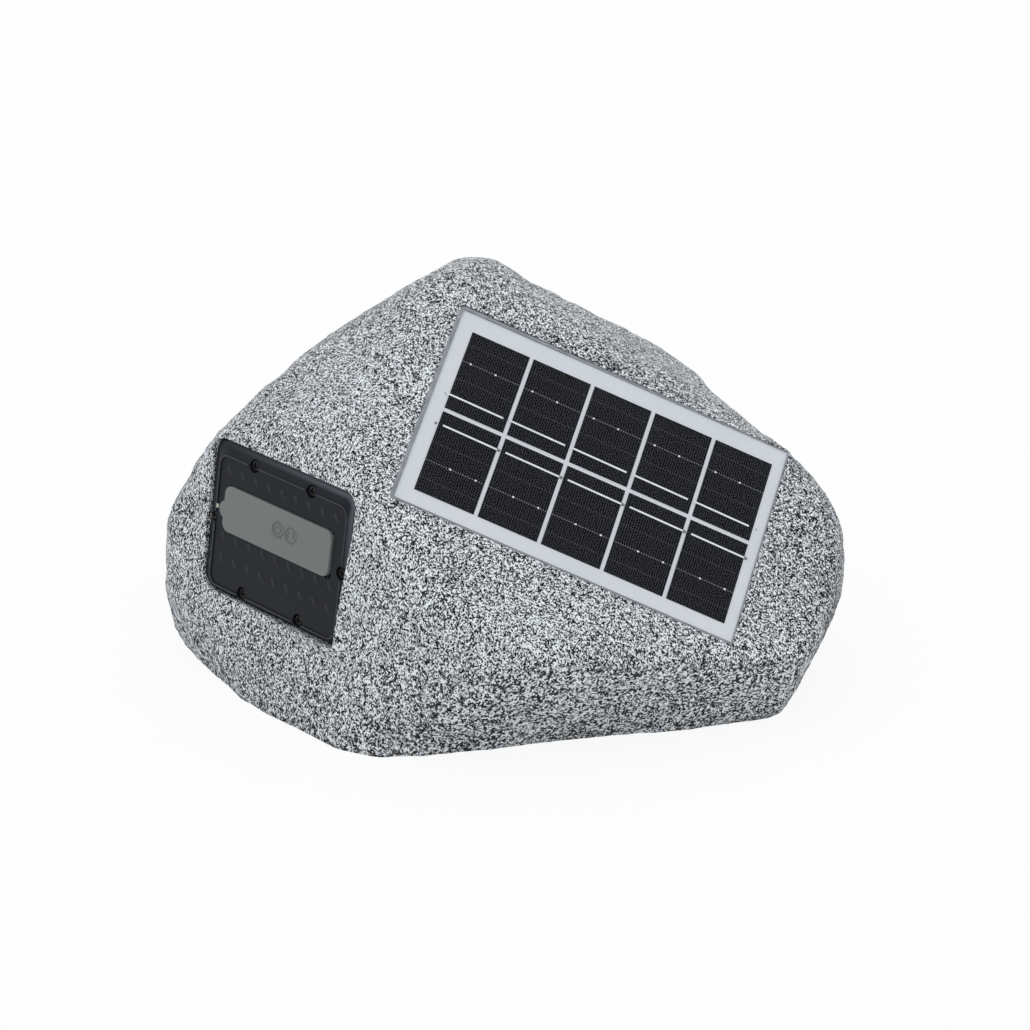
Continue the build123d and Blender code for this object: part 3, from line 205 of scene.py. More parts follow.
def cover_lip(local):
    """How far the stone laps over the cover's right edge: not at all at the top, and most at the bottom."""
    return np.where(local[..., 0] > 0, COVER_LIP * (0.5 - local[..., 1] / COVER_SIZE[1]), 0)


def cover_distance(local):
    """The cover's recess: its right edge leans in with the lip, and one corner is nearly square."""
    lower_right = (local[..., 0] > 0) & (local[..., 1] < 0)
    corner = np.where(lower_right, COVER_SHARP_CORNER, COVER_CORNER)
    half_x, half_y = COVER_SIZE[0] / 2 + COVER_GAP, COVER_SIZE[1] / 2 + COVER_GAP
    return box_distance(local[..., 0] + cover_lip(local), local[..., 1], half_x, half_y, corner)


def driver_distance(local):
    """Distance to the grille ring's round opening, negative inside."""
    return np.hypot(local[..., 0], local[..., 1]) - RING_RADIUS


PANEL_STONE, COVER_STONE, DRIVER_STONE, CORNER_PROUD = -0.3, -0.4, -0.2, 3.0


def panel_level(local):
    """The stone's height beside the panel: a little below the face."""
    return np.full(local.shape[:-1], PANEL_STONE)


def cover_level(local):
    """The stone's height beside the cover: just below its face, and proud at the lower right corner."""
    to_corner = local[..., 0] / 50 - local[..., 1] / 37
    return COVER_STONE + CORNER_PROUD * smooth((to_corner - 0.3) / 1.4)


def driver_level(local):
    """The stone's height beside the grille ring: a little below the face."""
    return np.full(local.shape[:-1], DRIVER_STONE)


SEATS = (
    (PANEL, panel_distance, panel_level),
    (COVER, cover_distance, cover_level),
    (DRIVER, driver_distance, driver_level))

# %% The skin's formula
SOFT, NEWTON_STEPS, LEAST_SLOPE = 5.0, 14, 0.05


def skin_reach(directions):
    """Distance from the core to the skin: Newton's method on the soft maximum of the face distances."""
    lean = directions @ NORMALS.T
    reach = np.min(np.where(lean > 1e-6, FACES[:, 2] / np.maximum(lean, 1e-6), np.inf), axis=-1)
    for _ in range(NEWTON_STEPS):
        push = (lean * reach[..., None] - FACES[:, 2]) / SOFT
        top = push.max(-1, keepdims=True)
        weight = np.exp(push - top)
        total = weight.sum(-1)
        level = (top[..., 0] + np.log(total)) * SOFT
        slope = (weight * lean).sum(-1) / total
        reach = reach - level / np.maximum(slope, LEAST_SLOPE)
    normal = (weight / total[..., None]) @ NORMALS
    return reach, normal / np.linalg.norm(normal, axis=-1, keepdims=True)


def aim(turn, tilt):
    """Unit directions: a turn about the upright axis and a tilt above level."""
    return np.stack([np.cos(turn) * np.cos(tilt), np.sin(turn) * np.cos(tilt), np.sin(tilt)], -1)


# %% Grow the skin
COLUMNS, ROWS, HALVINGS = 600, 158, 40
turn = np.linspace(0, 2 * np.pi, COLUMNS, endpoint=False)
low, high = np.full(COLUMNS, math.radians(-80)), np.zeros(COLUMNS)
for _ in range(HALVINGS):
    middle = (low + high) / 2
    under = CORE[2] + skin_reach(aim(turn, middle))[0] * np.sin(middle) < 0
    low, high = np.where(under, middle, low), np.where(under, high, middle)
tilt = high + (math.pi / 2 - high) * np.linspace(0, 1, ROWS, endpoint=False)[:, None]
heading = np.broadcast_to(turn, tilt.shape)
reach, normal = skin_reach(aim(heading, tilt))
skin = CORE + aim(heading, tilt) * reach[..., None]
print("skin before its relief", skin.reshape(-1, 3).min(0).round(1), skin.reshape(-1, 3).max(0).round(1))

# %% [markdown]
# The relief is noise at five wavelengths, each with its own height, and a few broad lumps and hollows
# that follow the real outline: a place, a spread and a rise. Close to an opening the relief calms down,
# and the skin is pulled to the height that the part in the opening needs.

# %% Lumps, hollows and calm edges
RELIEF = ((74, 3.0), (31, 2.2), (13, 1.1), (6.2, 0.6), (4.0, 0.35))
NOISE_SHIFT = 7.3
SEAT_DEPTH, CALM_WIDTH, PULL_WIDTH = 30.0, 10.0, 6.0
relief = sum(size * noise(skin / length + NOISE_SHIFT * length) for length, size in RELIEF)
LUMPS = np.array([
    [143, 10, 99, 18, 1.5], [123, 31, 112, 14, -1.2], [104, 45, 122, 16, -2.0], [88, 70, 127, 16, 2.3],
    [16, 66, 172, 14, -1.2], [-4, 59, 185, 18, 2.9], [-43, 43, 183, 18, 1.0], [-163, 30, 1, 22, -2.0],
    [-87, -77, 0, 18, -2.6], [-65, -90, 0, 14, -1.6], [17, -81, 0, 18, -1.4], [82, -67, 0, 18, 2.0],
    [113, -60, 0, 16, -1.7], [151, -46, 40, 20, -1.4], [-166, 22, 33, 16, 1.5]])
for x, y, z, spread, rise in LUMPS:
    relief += rise * np.exp(-np.sum((skin - [x, y, z]) ** 2, -1) / spread ** 2)
calm = np.ones(skin.shape[:-1])
for seat, distance, _ in SEATS:
    local = to_seat(skin, seat)
    near = np.abs(local[..., 2]) < SEAT_DEPTH
    calm *= np.where(near, smooth(distance(local) / CALM_WIDTH), 1)
skin = skin + normal * (relief * calm)[..., None]
for seat, distance, level in SEATS:
    local = to_seat(skin, seat)
    near = np.abs(local[..., 2]) < SEAT_DEPTH
    pull = np.where(near, smooth(1 - distance(local) / PULL_WIDTH), 0) * (level(local) - local[..., 2])
    skin = skin + pull[..., None] * seat[1][2]
print("skin box", skin.reshape(-1, 3).min(0).round(1), skin.reshape(-1, 3).max(0).round(1))

# %% [markdown]
# The base plate lies inside the rim of the shell. The plate's outline is read from the CAD model as
# the furthest reach in every direction, which is enough for a convex outline. Low on the rock the
# skin is kept outside it, and the bottom row turns in to the plate, so that the shell has a rim.

# %% Rim around the base plate
RIM_GAP, RIM_WALL, RIM_HEIGHT = 0.4, 1.4, 5.0
LOW_TOP, LOW_FADE, LEAST_FACING = 40.0, 34.0, 0.05
plate = np.empty(len(nodes["base_plate"].data.vertices) * 3, np.float32)
nodes["base_plate"].data.vertices.foreach_get("co", plate)
plate = plate.reshape(-1, 3)[:, :2] / MM
support = np.max(plate @ np.stack([np.cos(turn), np.sin(turn)]), axis=0)
facing = np.cos(turn[:, None] - turn[None])
ahead = facing > LEAST_FACING
rim = np.min(np.where(ahead, support[None] / np.maximum(facing, LEAST_FACING), np.inf), axis=1) + RIM_GAP
around = np.arctan2(skin[..., 1], skin[..., 0])
least = np.interp(around, turn, rim, period=2 * np.pi) + RIM_WALL
spread = np.hypot(skin[..., 0], skin[..., 1])
low_down = smooth((LOW_TOP - skin[..., 2]) / LOW_FADE)
grow = 1 + low_down * np.maximum(least / spread - 1, 0)
skin[..., :2] *= grow[..., None]
skin[..., 2] = np.maximum(skin[..., 2], 0)
skin[0, :, 2] = 0
rim_low = np.stack([np.cos(turn) * rim, np.sin(turn) * rim, np.zeros(COLUMNS)], -1)
rim_high = rim_low + [0, 0, RIM_HEIGHT]
print("rim reaches", rim.min().round(1), "to", rim.max().round(1))
print("the skin grew by up to", (spread * (grow - 1)).max().round(1))

# %% [markdown]
# The panel, the cover and the grille sit in openings of the skin. A boolean would leave a ragged
# edge. Instead the points nearest to an opening's outline are slid onto it, then, wherever a triangle
# still crosses the outline, its nearest corner, until no triangle crosses. Those inside are left out.

# %% Openings and mesh of the skin
EDGE, TOUCH, PASSES, FAR = 0.6, 0.02, 8, 99.0
rows = np.concatenate([rim_high[None], rim_low[None], skin])
crown = CORE + [0, 0, skin_reach(aim(np.zeros(1), np.full(1, math.pi / 2)))[0][0]]
points = np.concatenate([rows.reshape(-1, 3), crown[None]])
quads = grid_faces(len(rows), COLUMNS, around=True)
last = (len(rows) - 1) * COLUMNS + np.arange(COLUMNS)
cap = np.stack([last, np.roll(last, -1), np.full(COLUMNS, len(points) - 1)], -1)
triangles = np.concatenate([quads[:, [0, 1, 2]], quads[:, [0, 2, 3]], cap])


def slid(points, seat, distance, step=0.01):
    """Points moved across a seat onto an outline: back by their distance, along its slope."""
    local = to_seat(points, seat)
    d = distance(local)
    gx = (distance(local + [step, 0, 0]) - d) / step
    gy = (distance(local + [0, step, 0]) - d) / step
    return from_seat(local - np.stack([d * gx, d * gy, 0 * d], -1), seat)


keep = np.ones(len(triangles), bool)
for seat, distance, _ in SEATS:
    for attempt in range(PASSES):
        local = to_seat(points, seat)
        d = np.where(np.abs(local[:, 2]) < SEAT_DEPTH, distance(local), FAR)
        corners = d[triangles]
        crossing = (corners.min(1) < -TOUCH) & (corners.max(1) > TOUCH)
        nearest = np.where(np.abs(corners) > TOUCH, np.abs(corners), FAR).argmin(1)
        moved = np.abs(d) < EDGE if attempt == 0 else triangles[crossing, nearest[crossing]]
        points[moved] = slid(points[moved], seat, distance)
    print("triangles that still cross the outline:", crossing.sum())
    middle = to_seat(points[triangles].mean(1), seat)
    keep &= ~((distance(middle) < -TOUCH) & (np.abs(middle[:, 2]) < SEAT_DEPTH))
a, b, c = points[triangles].transpose(1, 0, 2)
keep &= np.linalg.norm(np.cross(b - a, c - a), axis=1) > TOUCH ** 2
used, triangles = np.unique(triangles[keep], return_inverse=True)
rock_skin = make_piece("rock_skin", points[used], triangles.reshape(-1, 3))
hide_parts("rock_shell")

# %% [markdown]
# The mould took coarser grains where the rock turns under. The finish could find that from the normal,
# but an attribute keeps it with the mesh: 0 where the skin is upright, and 1 where it leans out enough.

# %% How far the skin turns under
UNDER_SLOPE = 0.35
facing = np.empty(len(used) * 3, np.float32)
rock_skin.data.vertices.foreach_get("normal", facing)
turned_under = np.clip(-facing[2::3] / UNDER_SLOPE, 0, 1)
rock_skin.data.attributes.new("under", "FLOAT", "POINT").data.foreach_set("value", turned_under)
print("share of the skin that turns under:", turned_under.mean().round(3))

# %% [markdown]
# ## The wells behind the openings
# Inside each opening the moulding has a step that carries the part in it. A well is a profile of
# distances outwards and heights, carried around the opening's outline.

# %% Outlines and wells


def round_outline(half_x, half_y, corners, arc_steps=14, side_steps=24):
    """A rounded rectangle with four corner radii, anticlockwise: its points and outward directions."""
    spots = [(half_x, -half_y), (half_x, half_y), (-half_x, half_y), (-half_x, -half_y)]
    points, outs = [], []
    for i, ((x, y), r) in enumerate(zip(spots, corners)):
        a = np.radians(-90 + 90 * i) + np.linspace(0, math.pi / 2, arc_steps)
        out = np.stack([np.cos(a), np.sin(a)], -1)
        arc = [x - math.copysign(r, x), y - math.copysign(r, y)] + r * out
        nx, ny = spots[(i + 1) % 4]
        nr = corners[(i + 1) % 4]
        b = a[-1]
        start = [nx - math.copysign(nr, nx) + nr * math.cos(b), ny - math.copysign(nr, ny) + nr * math.sin(b)]
        t = np.linspace(0, 1, side_steps + 2)[1:-1, None]
        points += [arc, arc[-1] * (1 - t) + np.array(start) * t]
        outs += [out, np.broadcast_to(out[-1], (side_steps, 2))]
    return np.concatenate(points), np.concatenate(outs)


def carry(outline, outs, profile):
    """A profile of (out, height) pairs carried around an outline: one row of points for each pair."""
    profile = np.asarray(profile, float)
    flat = outline[None] + outs[None] * profile[:, None, :1]
    height = np.broadcast_to(profile[:, None, 1:], flat.shape[:2] + (1,))
    return np.concatenate([flat, height], -1)


def inward_faces(rows):
    """Quads of rows that run around an outline, turned to face the middle."""
    return grid_faces(len(rows), rows.shape[1], around=True)[:, ::-1]


COVER_WELL = [(0.6, -0.02), (0.15, -0.1), (0, -0.4), (0, -3), (0, -7), (-7, -7.05)]
DRIVER_WELL = [(0.6, -0.22), (0.1, -0.4), (0, -0.7), (0, -5), (-7.3, -5), (-7.3, -16), (-13.4, -16),
               (-13.4, -27)]
cover_edge, cover_outs = round_outline(COVER_SIZE[0] / 2 + COVER_GAP, COVER_SIZE[1] / 2 + COVER_GAP,
                                       (COVER_SHARP_CORNER, COVER_CORNER, COVER_CORNER, COVER_CORNER))
cover_edge[:, 0] -= cover_lip(cover_edge)
well = carry(cover_edge, cover_outs, COVER_WELL)
well[:3, :, 2] += cover_level(well[:3])
cover_well = make_piece("cover_well", from_seat(well, COVER), inward_faces(well))

spin = np.linspace(0, 2 * np.pi, 144, endpoint=False)
circle = np.stack([np.cos(spin), np.sin(spin)], -1)
well = carry(circle * RING_RADIUS, circle, DRIVER_WELL)
driver_well = make_piece("driver_well", from_seat(well, DRIVER), inward_faces(well))

# %% [markdown]
# ## Beads, studs and screw heads
# The panel is bedded in a bead of grey sealant that a finger has smoothed, so it is never quite even. A
# bevelled curve could make it, but its reach has to differ from side to side. So it is a falling profile
# carried around the panel, wider at the top and left, and a slow ripple lifts its middle.

# %% Sealant bead around the panel
BEAD_REACH, BEAD_SPREAD = 1.2, 1.8
BEAD_TOP, BEAD_FALL, BEAD_CURVE, BEAD_FOOT = 0.34, 1.25, 1.4, 2.4
RIPPLE_LENGTH, RIPPLE_HEIGHT = 9.0, 0.25
seal_path, seal_outs = round_outline(PANEL_SIZE[0] / 2, PANEL_SIZE[1] / 2, (1, 1, 1, 1),
                                     arc_steps=6, side_steps=120)
sweep = np.linspace(0, 1, 9)
shown = np.clip(np.maximum(-seal_outs[:, 0], seal_outs[:, 1]), 0, 1) * (0.5 - seal_path[:, 0] / PANEL_SIZE[0])
bead = carry(seal_path, seal_outs, np.stack([0 * sweep, BEAD_TOP - BEAD_FALL * sweep ** BEAD_CURVE], -1))
bead[..., :2] += seal_outs * (0.02 + sweep[:, None] * (BEAD_REACH + BEAD_SPREAD * shown))[..., None]
ripple = noise(np.concatenate([seal_path / RIPPLE_LENGTH, np.zeros((len(seal_path), 1))], -1))
bead[..., 2] += RIPPLE_HEIGHT * ripple * np.sin(np.pi * sweep)[:, None]
bead = np.concatenate([bead[:1] - [0, 0, BEAD_FOOT], bead])
panel_bead = make_piece("panel_bead", from_seat(bead, PANEL), inward_faces(bead))
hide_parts("panel_seal")

# %% [markdown]
# The clear sheet over the cells is a thin slab with softly rounded edges. CAD shades it as a few long
# triangles, which streaks in a reflection, so it is made again: rings around the outline, with one
# more flat ring inside the rounding, so that the broad face reflects as a true plane.

# %% Clear sheet over the panel
SHEET_LOW, SHEET_TOP = 0.08, 0.5


def lidded(rows):
    """A closed surface from rings, lowest first: triangles between them, and a fan over both end rings."""
    count, sides = rows.shape[:2]
    points = np.concatenate([rows.reshape(-1, 3), rows[[0, -1]].mean(1)])
    quads = grid_faces(count, sides, around=True)
    ring = np.arange(sides)
    following = np.roll(ring, -1)
    last = (count - 1) * sides
    low = np.stack([following, ring, np.full(sides, count * sides)], -1)
    high = np.stack([ring + last, following + last, np.full(sides, count * sides + 1)], -1)
    return points, np.concatenate([quads[:, [0, 1, 2]], quads[:, [0, 2, 3]], low, high])


SHEET_EDGE = [(-0.8, SHEET_LOW), (0, SHEET_LOW), (0, SHEET_TOP - 0.2), (-0.06, SHEET_TOP - 0.06),
              (-0.2, SHEET_TOP), (-0.8, SHEET_TOP)]
sheet_path, sheet_outs = round_outline(PANEL_SIZE[0] / 2, PANEL_SIZE[1] / 2, (1, 1, 1, 1),
                                       arc_steps=8, side_steps=20)
sheet_points, sheet_faces = lidded(carry(sheet_path, sheet_outs, SHEET_EDGE))
panel_sheet = make_piece("panel_sheet", from_seat(sheet_points, PANEL), sheet_faces)
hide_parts("solar_cover")

# %% [markdown]
# The cover's field carries rows of low slanting studs. A stud could be a scaled sphere. Here it is a
# height over an ellipse, worked out once and copied to every place that the flap leaves free.

# %% Studs on the cover
FIELD = 0.2
FLAP_UP, FLAP_HEIGHT, STUD_CLEAR = 5.3, 22.6, 2.15
STUD_STEP, STUD_CENTRE = (9.4, 10.95), (1.1, 1.6)
STUD_SIZE, STUD_TURN = (2.4, 1.08, 0.72), -55.0
stud_x, stud_y = np.meshgrid(STUD_CENTRE[0] + STUD_STEP[0] * np.arange(-4, 5),
                             STUD_CENTRE[1] + STUD_STEP[1] * np.arange(-2, 3))
clear = np.abs(stud_y - FLAP_UP) > FLAP_HEIGHT / 2 + STUD_CLEAR
stud_places = np.stack([stud_x[clear], stud_y[clear], np.full(clear.sum(), FIELD)], -1)


def lozenge(half_length, half_width, height, turn, rings=9, sides=28):
    """A long low stud: height times (1 - r squared) to the power 1.3, in rings over an ellipse."""
    r = np.linspace(1, 0.02, rings)[:, None]
    a = np.linspace(0, 2 * np.pi, sides, endpoint=False)[None]
    x, y = half_length * r * np.cos(a), half_width * r * np.sin(a)
    t = math.radians(turn)
    z = height * (1 - r ** 2) ** 1.3 + 0 * a - 0.02
    points = np.stack([x * math.cos(t) - y * math.sin(t), x * math.sin(t) + y * math.cos(t), z], -1)
    return points, grid_faces(rings, sides, around=True)


stud_points, stud_faces = copies(*lozenge(*STUD_SIZE, STUD_TURN), stud_places)
cover_studs = make_piece("cover_studs", from_seat(stud_points, COVER), stud_faces)

# %% [markdown]
# A pan head is a dome with a cross pressed into it. Both are one height over radius and angle: the
# crown falls towards the rim, and near either bar of the cross the height drops to the recess.

# %% Screw heads


def pan_head(radius, height, shank, rings=20, sides=72):
    """A screw head: a low crown, a steep side, and a cross-shaped recess where |x| or |y| is small."""
    r = np.concatenate([[radius * 0.98], np.linspace(radius, 0.01 * radius, rings)])[:, None]
    a = np.linspace(0, 2 * np.pi, sides, endpoint=False)[None]
    x, y = r * np.cos(a), r * np.sin(a)
    crown = height * np.sqrt(np.clip(1.02 - 0.72 * (r / radius) ** 4, 0, 1))
    bar = np.minimum(np.abs(x), np.abs(y))
    inside = smooth((radius * 0.24 - bar) / (radius * 0.1)) * smooth((radius * 0.72 - r) / (radius * 0.12))
    z = crown - 0.75 * height * inside
    z[0] = -shank
    return np.stack([x, y, z], -1), grid_faces(rings + 1, sides, around=True)


SCREW_ACROSS, SCREW_UP, SCREW_END, SCREW_SHIFT, SCREW_FLOOR = 20.0, 31.7, 45.3, -1.0, -1.8
RING_SCREW_RADIUS, RING_SCREW_FLOOR = 52.4, -1.6
COVER_HEAD, RING_HEAD = (2.5, 1.6, 0.2), (1.9, 1.2, 0.2)
cover_screw_places = np.array(
    [[x * SCREW_ACROSS, y * SCREW_UP + SCREW_SHIFT, SCREW_FLOOR] for y in (1, -1) for x in (-1, 1)]
    + [[x * SCREW_END, SCREW_SHIFT, SCREW_FLOOR] for x in (-1, 1)])
screw_points, screw_faces = copies(*pan_head(*COVER_HEAD), cover_screw_places)
cover_heads = make_piece("cover_screw_heads", from_seat(screw_points, COVER), screw_faces)
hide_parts("cover_screws")

ring_turn = np.radians([45, 135, 225, 315])
ring_places = np.stack([RING_SCREW_RADIUS * np.cos(ring_turn), RING_SCREW_RADIUS * np.sin(ring_turn),
                        np.full(len(ring_turn), RING_SCREW_FLOOR)], -1)
screw_points, screw_faces = copies(*pan_head(*RING_HEAD), ring_places)
ring_heads = make_piece("ring_screw_heads", from_seat(screw_points, DRIVER), screw_faces)
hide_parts("ring_screws")

# %% [markdown]
# Behind the cone a ring of stiffened cloth keeps the coil in the middle. It is pressed into waves, so that
# it gives only along the coil's axis, and it is cupped towards the magnet, which leaves the cone room to
# move back. It could be a lathe shape; here one profile, waves on a dish, is carried around the coil.

# %% Cloth ring behind the cone
CLOTH_INNER, CLOTH_OUTER, CLOTH_LEDGE, CLOTH_WALL = 10.5, 28.0, -34.0, 0.5
CUP_DEPTH, CUP_EDGE, CUP_WIDTH = 2.6, 20.0, 9.0
WAVE_HEIGHT, WAVE_LENGTH, WAVE_EDGE = 0.8, 3.9, 26.0
out = np.linspace(CLOTH_INNER, CLOTH_OUTER, 46)
wave = WAVE_HEIGHT / 2 * (1 - np.cos(2 * np.pi * np.maximum(WAVE_EDGE - out, 0) / WAVE_LENGTH))
cloth = CLOTH_LEDGE + wave - CUP_DEPTH * smooth((CUP_EDGE - out) / CUP_WIDTH)
under_side = np.stack([out, cloth], -1)
cloth_rows = carry(0 * circle, circle, np.concatenate([under_side, under_side[::-1] + [0, CLOTH_WALL]]))
cloth_faces = grid_faces(len(cloth_rows), cloth_rows.shape[1], around=True, closed=True)
cloth_ring = make_piece("cone_cloth_ring", from_seat(cloth_rows, DRIVER), cloth_faces)
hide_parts("spider")

# %% [markdown]
# The raised bead follows the edge of the cover's field. A half-round profile is carried along the
# outline, and the bead sinks away and stops where a screw's pocket cuts it.

# %% Bead around the cover's field
FIELD_HALF, FIELD_CENTRE, FIELD_CORNER = (44.5, 32.4), (1.0, -2.0), 5.4
BEAD_HALF, POCKET, POCKET_FADE, SUNK = 0.62, 3.35, 0.6, 0.03
field_path, field_outs = round_outline(*FIELD_HALF, (FIELD_CORNER,) * 4, arc_steps=18, side_steps=260)
field_path = field_path + FIELD_CENTRE
to_screw = np.linalg.norm(field_path[:, None] - cover_screw_places[None, :, :2], axis=-1).min(1)
arc = np.linspace(0, math.pi, 9)
bead = carry(field_path, field_outs, np.stack([BEAD_HALF * np.cos(arc), BEAD_HALF * np.sin(arc)], -1))
bead[..., 2] = FIELD - SUNK + bead[..., 2] * smooth((to_screw - POCKET) / POCKET_FADE)
bead_faces = grid_faces(len(bead), bead.shape[1], around=True)
bead_faces = bead_faces[np.tile(to_screw, len(bead))[bead_faces].min(1) > POCKET]
used, bead_faces = np.unique(bead_faces, return_inverse=True)
field_bead = make_piece("cover_bead", from_seat(bead.reshape(-1, 3)[used], COVER), bead_faces.reshape(-1, 4))

# %% [markdown]
# The flap's two rings mark the buttons under it. A raised line in each says what the button does: a
# power mark, and two arcs that face each other for pairing. A half-round section is carried along
# each line and drawn in to nothing at its ends.

# %% Marks on the flap
FLAP_TOP, RING_PLACES, RING_LINE, MARK_RADIUS = 1.3, ((1.5, 6.3), (10.6, 6.3)), 3.6, 1.9
LINE_STEPS = 40


def ridge(path, half=0.3, height=0.32, steps=7):
    """A raised line on the flap: a half circle across the path, and tapering at both of its ends."""
    ahead = np.gradient(path, axis=0)
    ahead /= np.linalg.norm(ahead, axis=1, keepdims=True)
    out = np.stack([ahead[:, 1], -ahead[:, 0]], -1)
    taper = np.sqrt(1 - np.linspace(-1, 1, len(path)) ** 8)
    a = np.linspace(0, math.pi, steps)[:, None]
    flat = path[None] + out[None] * (half * np.cos(a) * taper)[..., None]
    rise = FLAP_TOP - SUNK + height * np.sin(a) * taper
    return np.concatenate([flat, rise[..., None]], -1), grid_faces(steps, len(path))


def arc_path(centre, radius, start, end):
    """Points on an arc about a centre, between two angles in degrees."""
    a = np.radians(np.linspace(start, end, LINE_STEPS))
    return np.array(centre) + radius * np.stack([np.cos(a), np.sin(a)], -1)


bar = np.array(RING_PLACES[0]) + np.stack([np.zeros(LINE_STEPS), np.linspace(0.5, 2.5, LINE_STEPS)], -1)
lines = [bar, arc_path(RING_PLACES[0], MARK_RADIUS, 130, 410)]
lines += [arc_path(RING_PLACES[1], MARK_RADIUS, start, start + 120) for start in (-60, 120)]
ridges = [ridge(line) for line in lines]
ridges += [ridge(arc_path(place, RING_LINE, 0, 360), 0.4, 0.45) for place in RING_PLACES]
mark_points = np.concatenate([points.reshape(-1, 3) for points, _ in ridges])
per_line = len(mark_points) // len(ridges)
mark_faces = np.concatenate([faces + i * per_line for i, (_, faces) in enumerate(ridges)])
flap_marks = make_piece("flap_marks", from_seat(mark_points, COVER), mark_faces, "port_flap")

# %% [markdown]
# ## Writing finishes as expressions
# A finish is a small network of nodes. Wiring it by hand hides the idea, so one class wraps a socket:
# plus, minus, times and over add Math nodes, and one method adds any other node. Numbers that are
# the same everywhere are set straight on the shader.

# %% The socket class


class Wire:
    """A socket in a material. Arithmetic on it adds Math nodes to the same material."""

    def __init__(self, tree, socket=None):
        self.tree = tree
        self.socket = socket

    def add(self, kind, settings=None, values=None, out=0):
        """Adds a node: its settings, or a ramp's stops, first, then the values or wires of its inputs."""
        node = self.tree.nodes.new(kind)
        for key, value in (settings or {}).items():
            if key == "stops":
                ramp = node.color_ramp.elements
                ramp.remove(ramp[1])
                for i, (place, shade) in enumerate(value):
                    stop = ramp[0] if i == 0 else ramp.new(place)
                    stop.position = place
                    stop.color = (*shade, 1) if hasattr(shade, "__len__") else (shade, shade, shade, 1)
            else:
                setattr(node, key, value)
        for key, value in (values or {}).items():
            if isinstance(value, Wire):
                self.tree.links.new(value.socket, node.inputs[key])
            else:
                node.inputs[key].default_value = value
        return Wire(self.tree, node.outputs[out])

    def math(self, operation, *others):
        return self.add("ShaderNodeMath", {"operation": operation}, dict(enumerate((self, *others))))

    def __add__(self, other):
        return self.math("ADD", other)

    def __sub__(self, other):
        return self.math("SUBTRACT", other)

    def __mul__(self, other):
        return self.math("MULTIPLY", other)

    def __truediv__(self, other):
        return self.math("DIVIDE", other)

    def __rsub__(self, other):
        return self.add("ShaderNodeMath", {"operation": "SUBTRACT"}, {0: other, 1: self})

    def __lt__(self, other):
        return self.math("LESS_THAN", other)

    def __gt__(self, other):
        return self.math("GREATER_THAN", other)

    def __abs__(self):
        return self.math("ABSOLUTE")

    __radd__ = __add__
    __rmul__ = __mul__

    def clamped(self):
        """This wire, kept between 0 and 1."""
        return self.math("MAXIMUM", 0.0).math("MINIMUM", 1.0)

    def mix(self, shade, other):
        """The first shade where this wire is 0 and the other where it is 1."""
        return self.add("ShaderNodeMix", {"data_type": "RGBA"}, {0: self, 6: shade, 7: other}, out=2)

    def ramp(self, *stops):
        return self.add("ShaderNodeValToRGB", {"stops": stops}, {0: self})

    def dot(self, direction):
        inputs = {0: self, 1: tuple(direction)}
        return self.add("ShaderNodeVectorMath", {"operation": "DOT_PRODUCT"}, inputs, out=1)

    def noise(self, scale, detail=2.0, rough=0.5):
        inputs = {"Vector": self, "Scale": scale, "Detail": detail, "Roughness": rough}
        return self.add("ShaderNodeTexNoise", None, inputs)

    def bump(self, strength, distance):
        """Turns this wire into a normal, as a height of that many metres."""
        return self.add("ShaderNodeBump", None, {"Strength": strength, "Distance": distance, "Height": self})


def new_finish(name, **constants):
    """A material, its plain shader with the constants set, and a wire with the Object coordinates."""
    material = bpy.data.materials.new(name)
    material.use_nodes = True
    shader = material.node_tree.nodes["Principled BSDF"]
    for key, value in constants.items():
        shader.inputs[key.replace("_", " ")].default_value = value
    place = Wire(material.node_tree).add("ShaderNodeTexCoord", out="Object")
    return material, shader, place


def feed(shader, **wires):
    """Joins wires to the shader's varying sockets."""
    for key, wire in wires.items():
        wire.tree.links.new(wire.socket, shader.inputs[key.replace("_", " ")])


def wear(material, *pieces):
    """Gives new pieces, or CAD nodes by their names, one material."""
    for piece in pieces:
        mesh = (nodes[piece] if isinstance(piece, str) else piece).data
        mesh.materials.clear()
        mesh.materials.append(material)
    print(material.name, "is on", len(pieces), "pieces")


# %% [markdown]
# ## Granite
# Up close the finish is salt and pepper: grains of half a millimetre or more, each one flat grey, from
# nearly black to nearly white. Speckle could be painted, but Voronoi cells give each grain a random
# number at any size. A little noise bends the cells so that they don't look like tiles, and a ramp
# gives as many dark, grey and pale grains as the real finish has. Where the rock turns under, the
# grains are coarser. Near the floor the clumps are stronger and a painted shade darkens the stone. The
# right end is darkened by painted shade, and a band of painted shade lies in the hollow above the
# panel. The grains also raise a fine bump.

# %% Granite finish


def along(place, seat, axis, offset=0.0):
    """Millimetres along one axis of a seat, measured from its origin plus an offset."""
    return place.dot(seat[1][axis] / MM) - float(seat[0] @ seat[1][axis] + offset)


granite, shader, place = new_finish("granite", Specular_IOR_Level=0.25)
GRAIN, COARSE, DRAWN_OUT, BEND = 1900.0, 0.66, 0.68, 0.0005
LOW_HEIGHT = 0.07
# Where the painted shade on the right end starts, and how far it fades in.
SHADED_END_START, SHADED_END_LENGTH = 0.105, 0.045
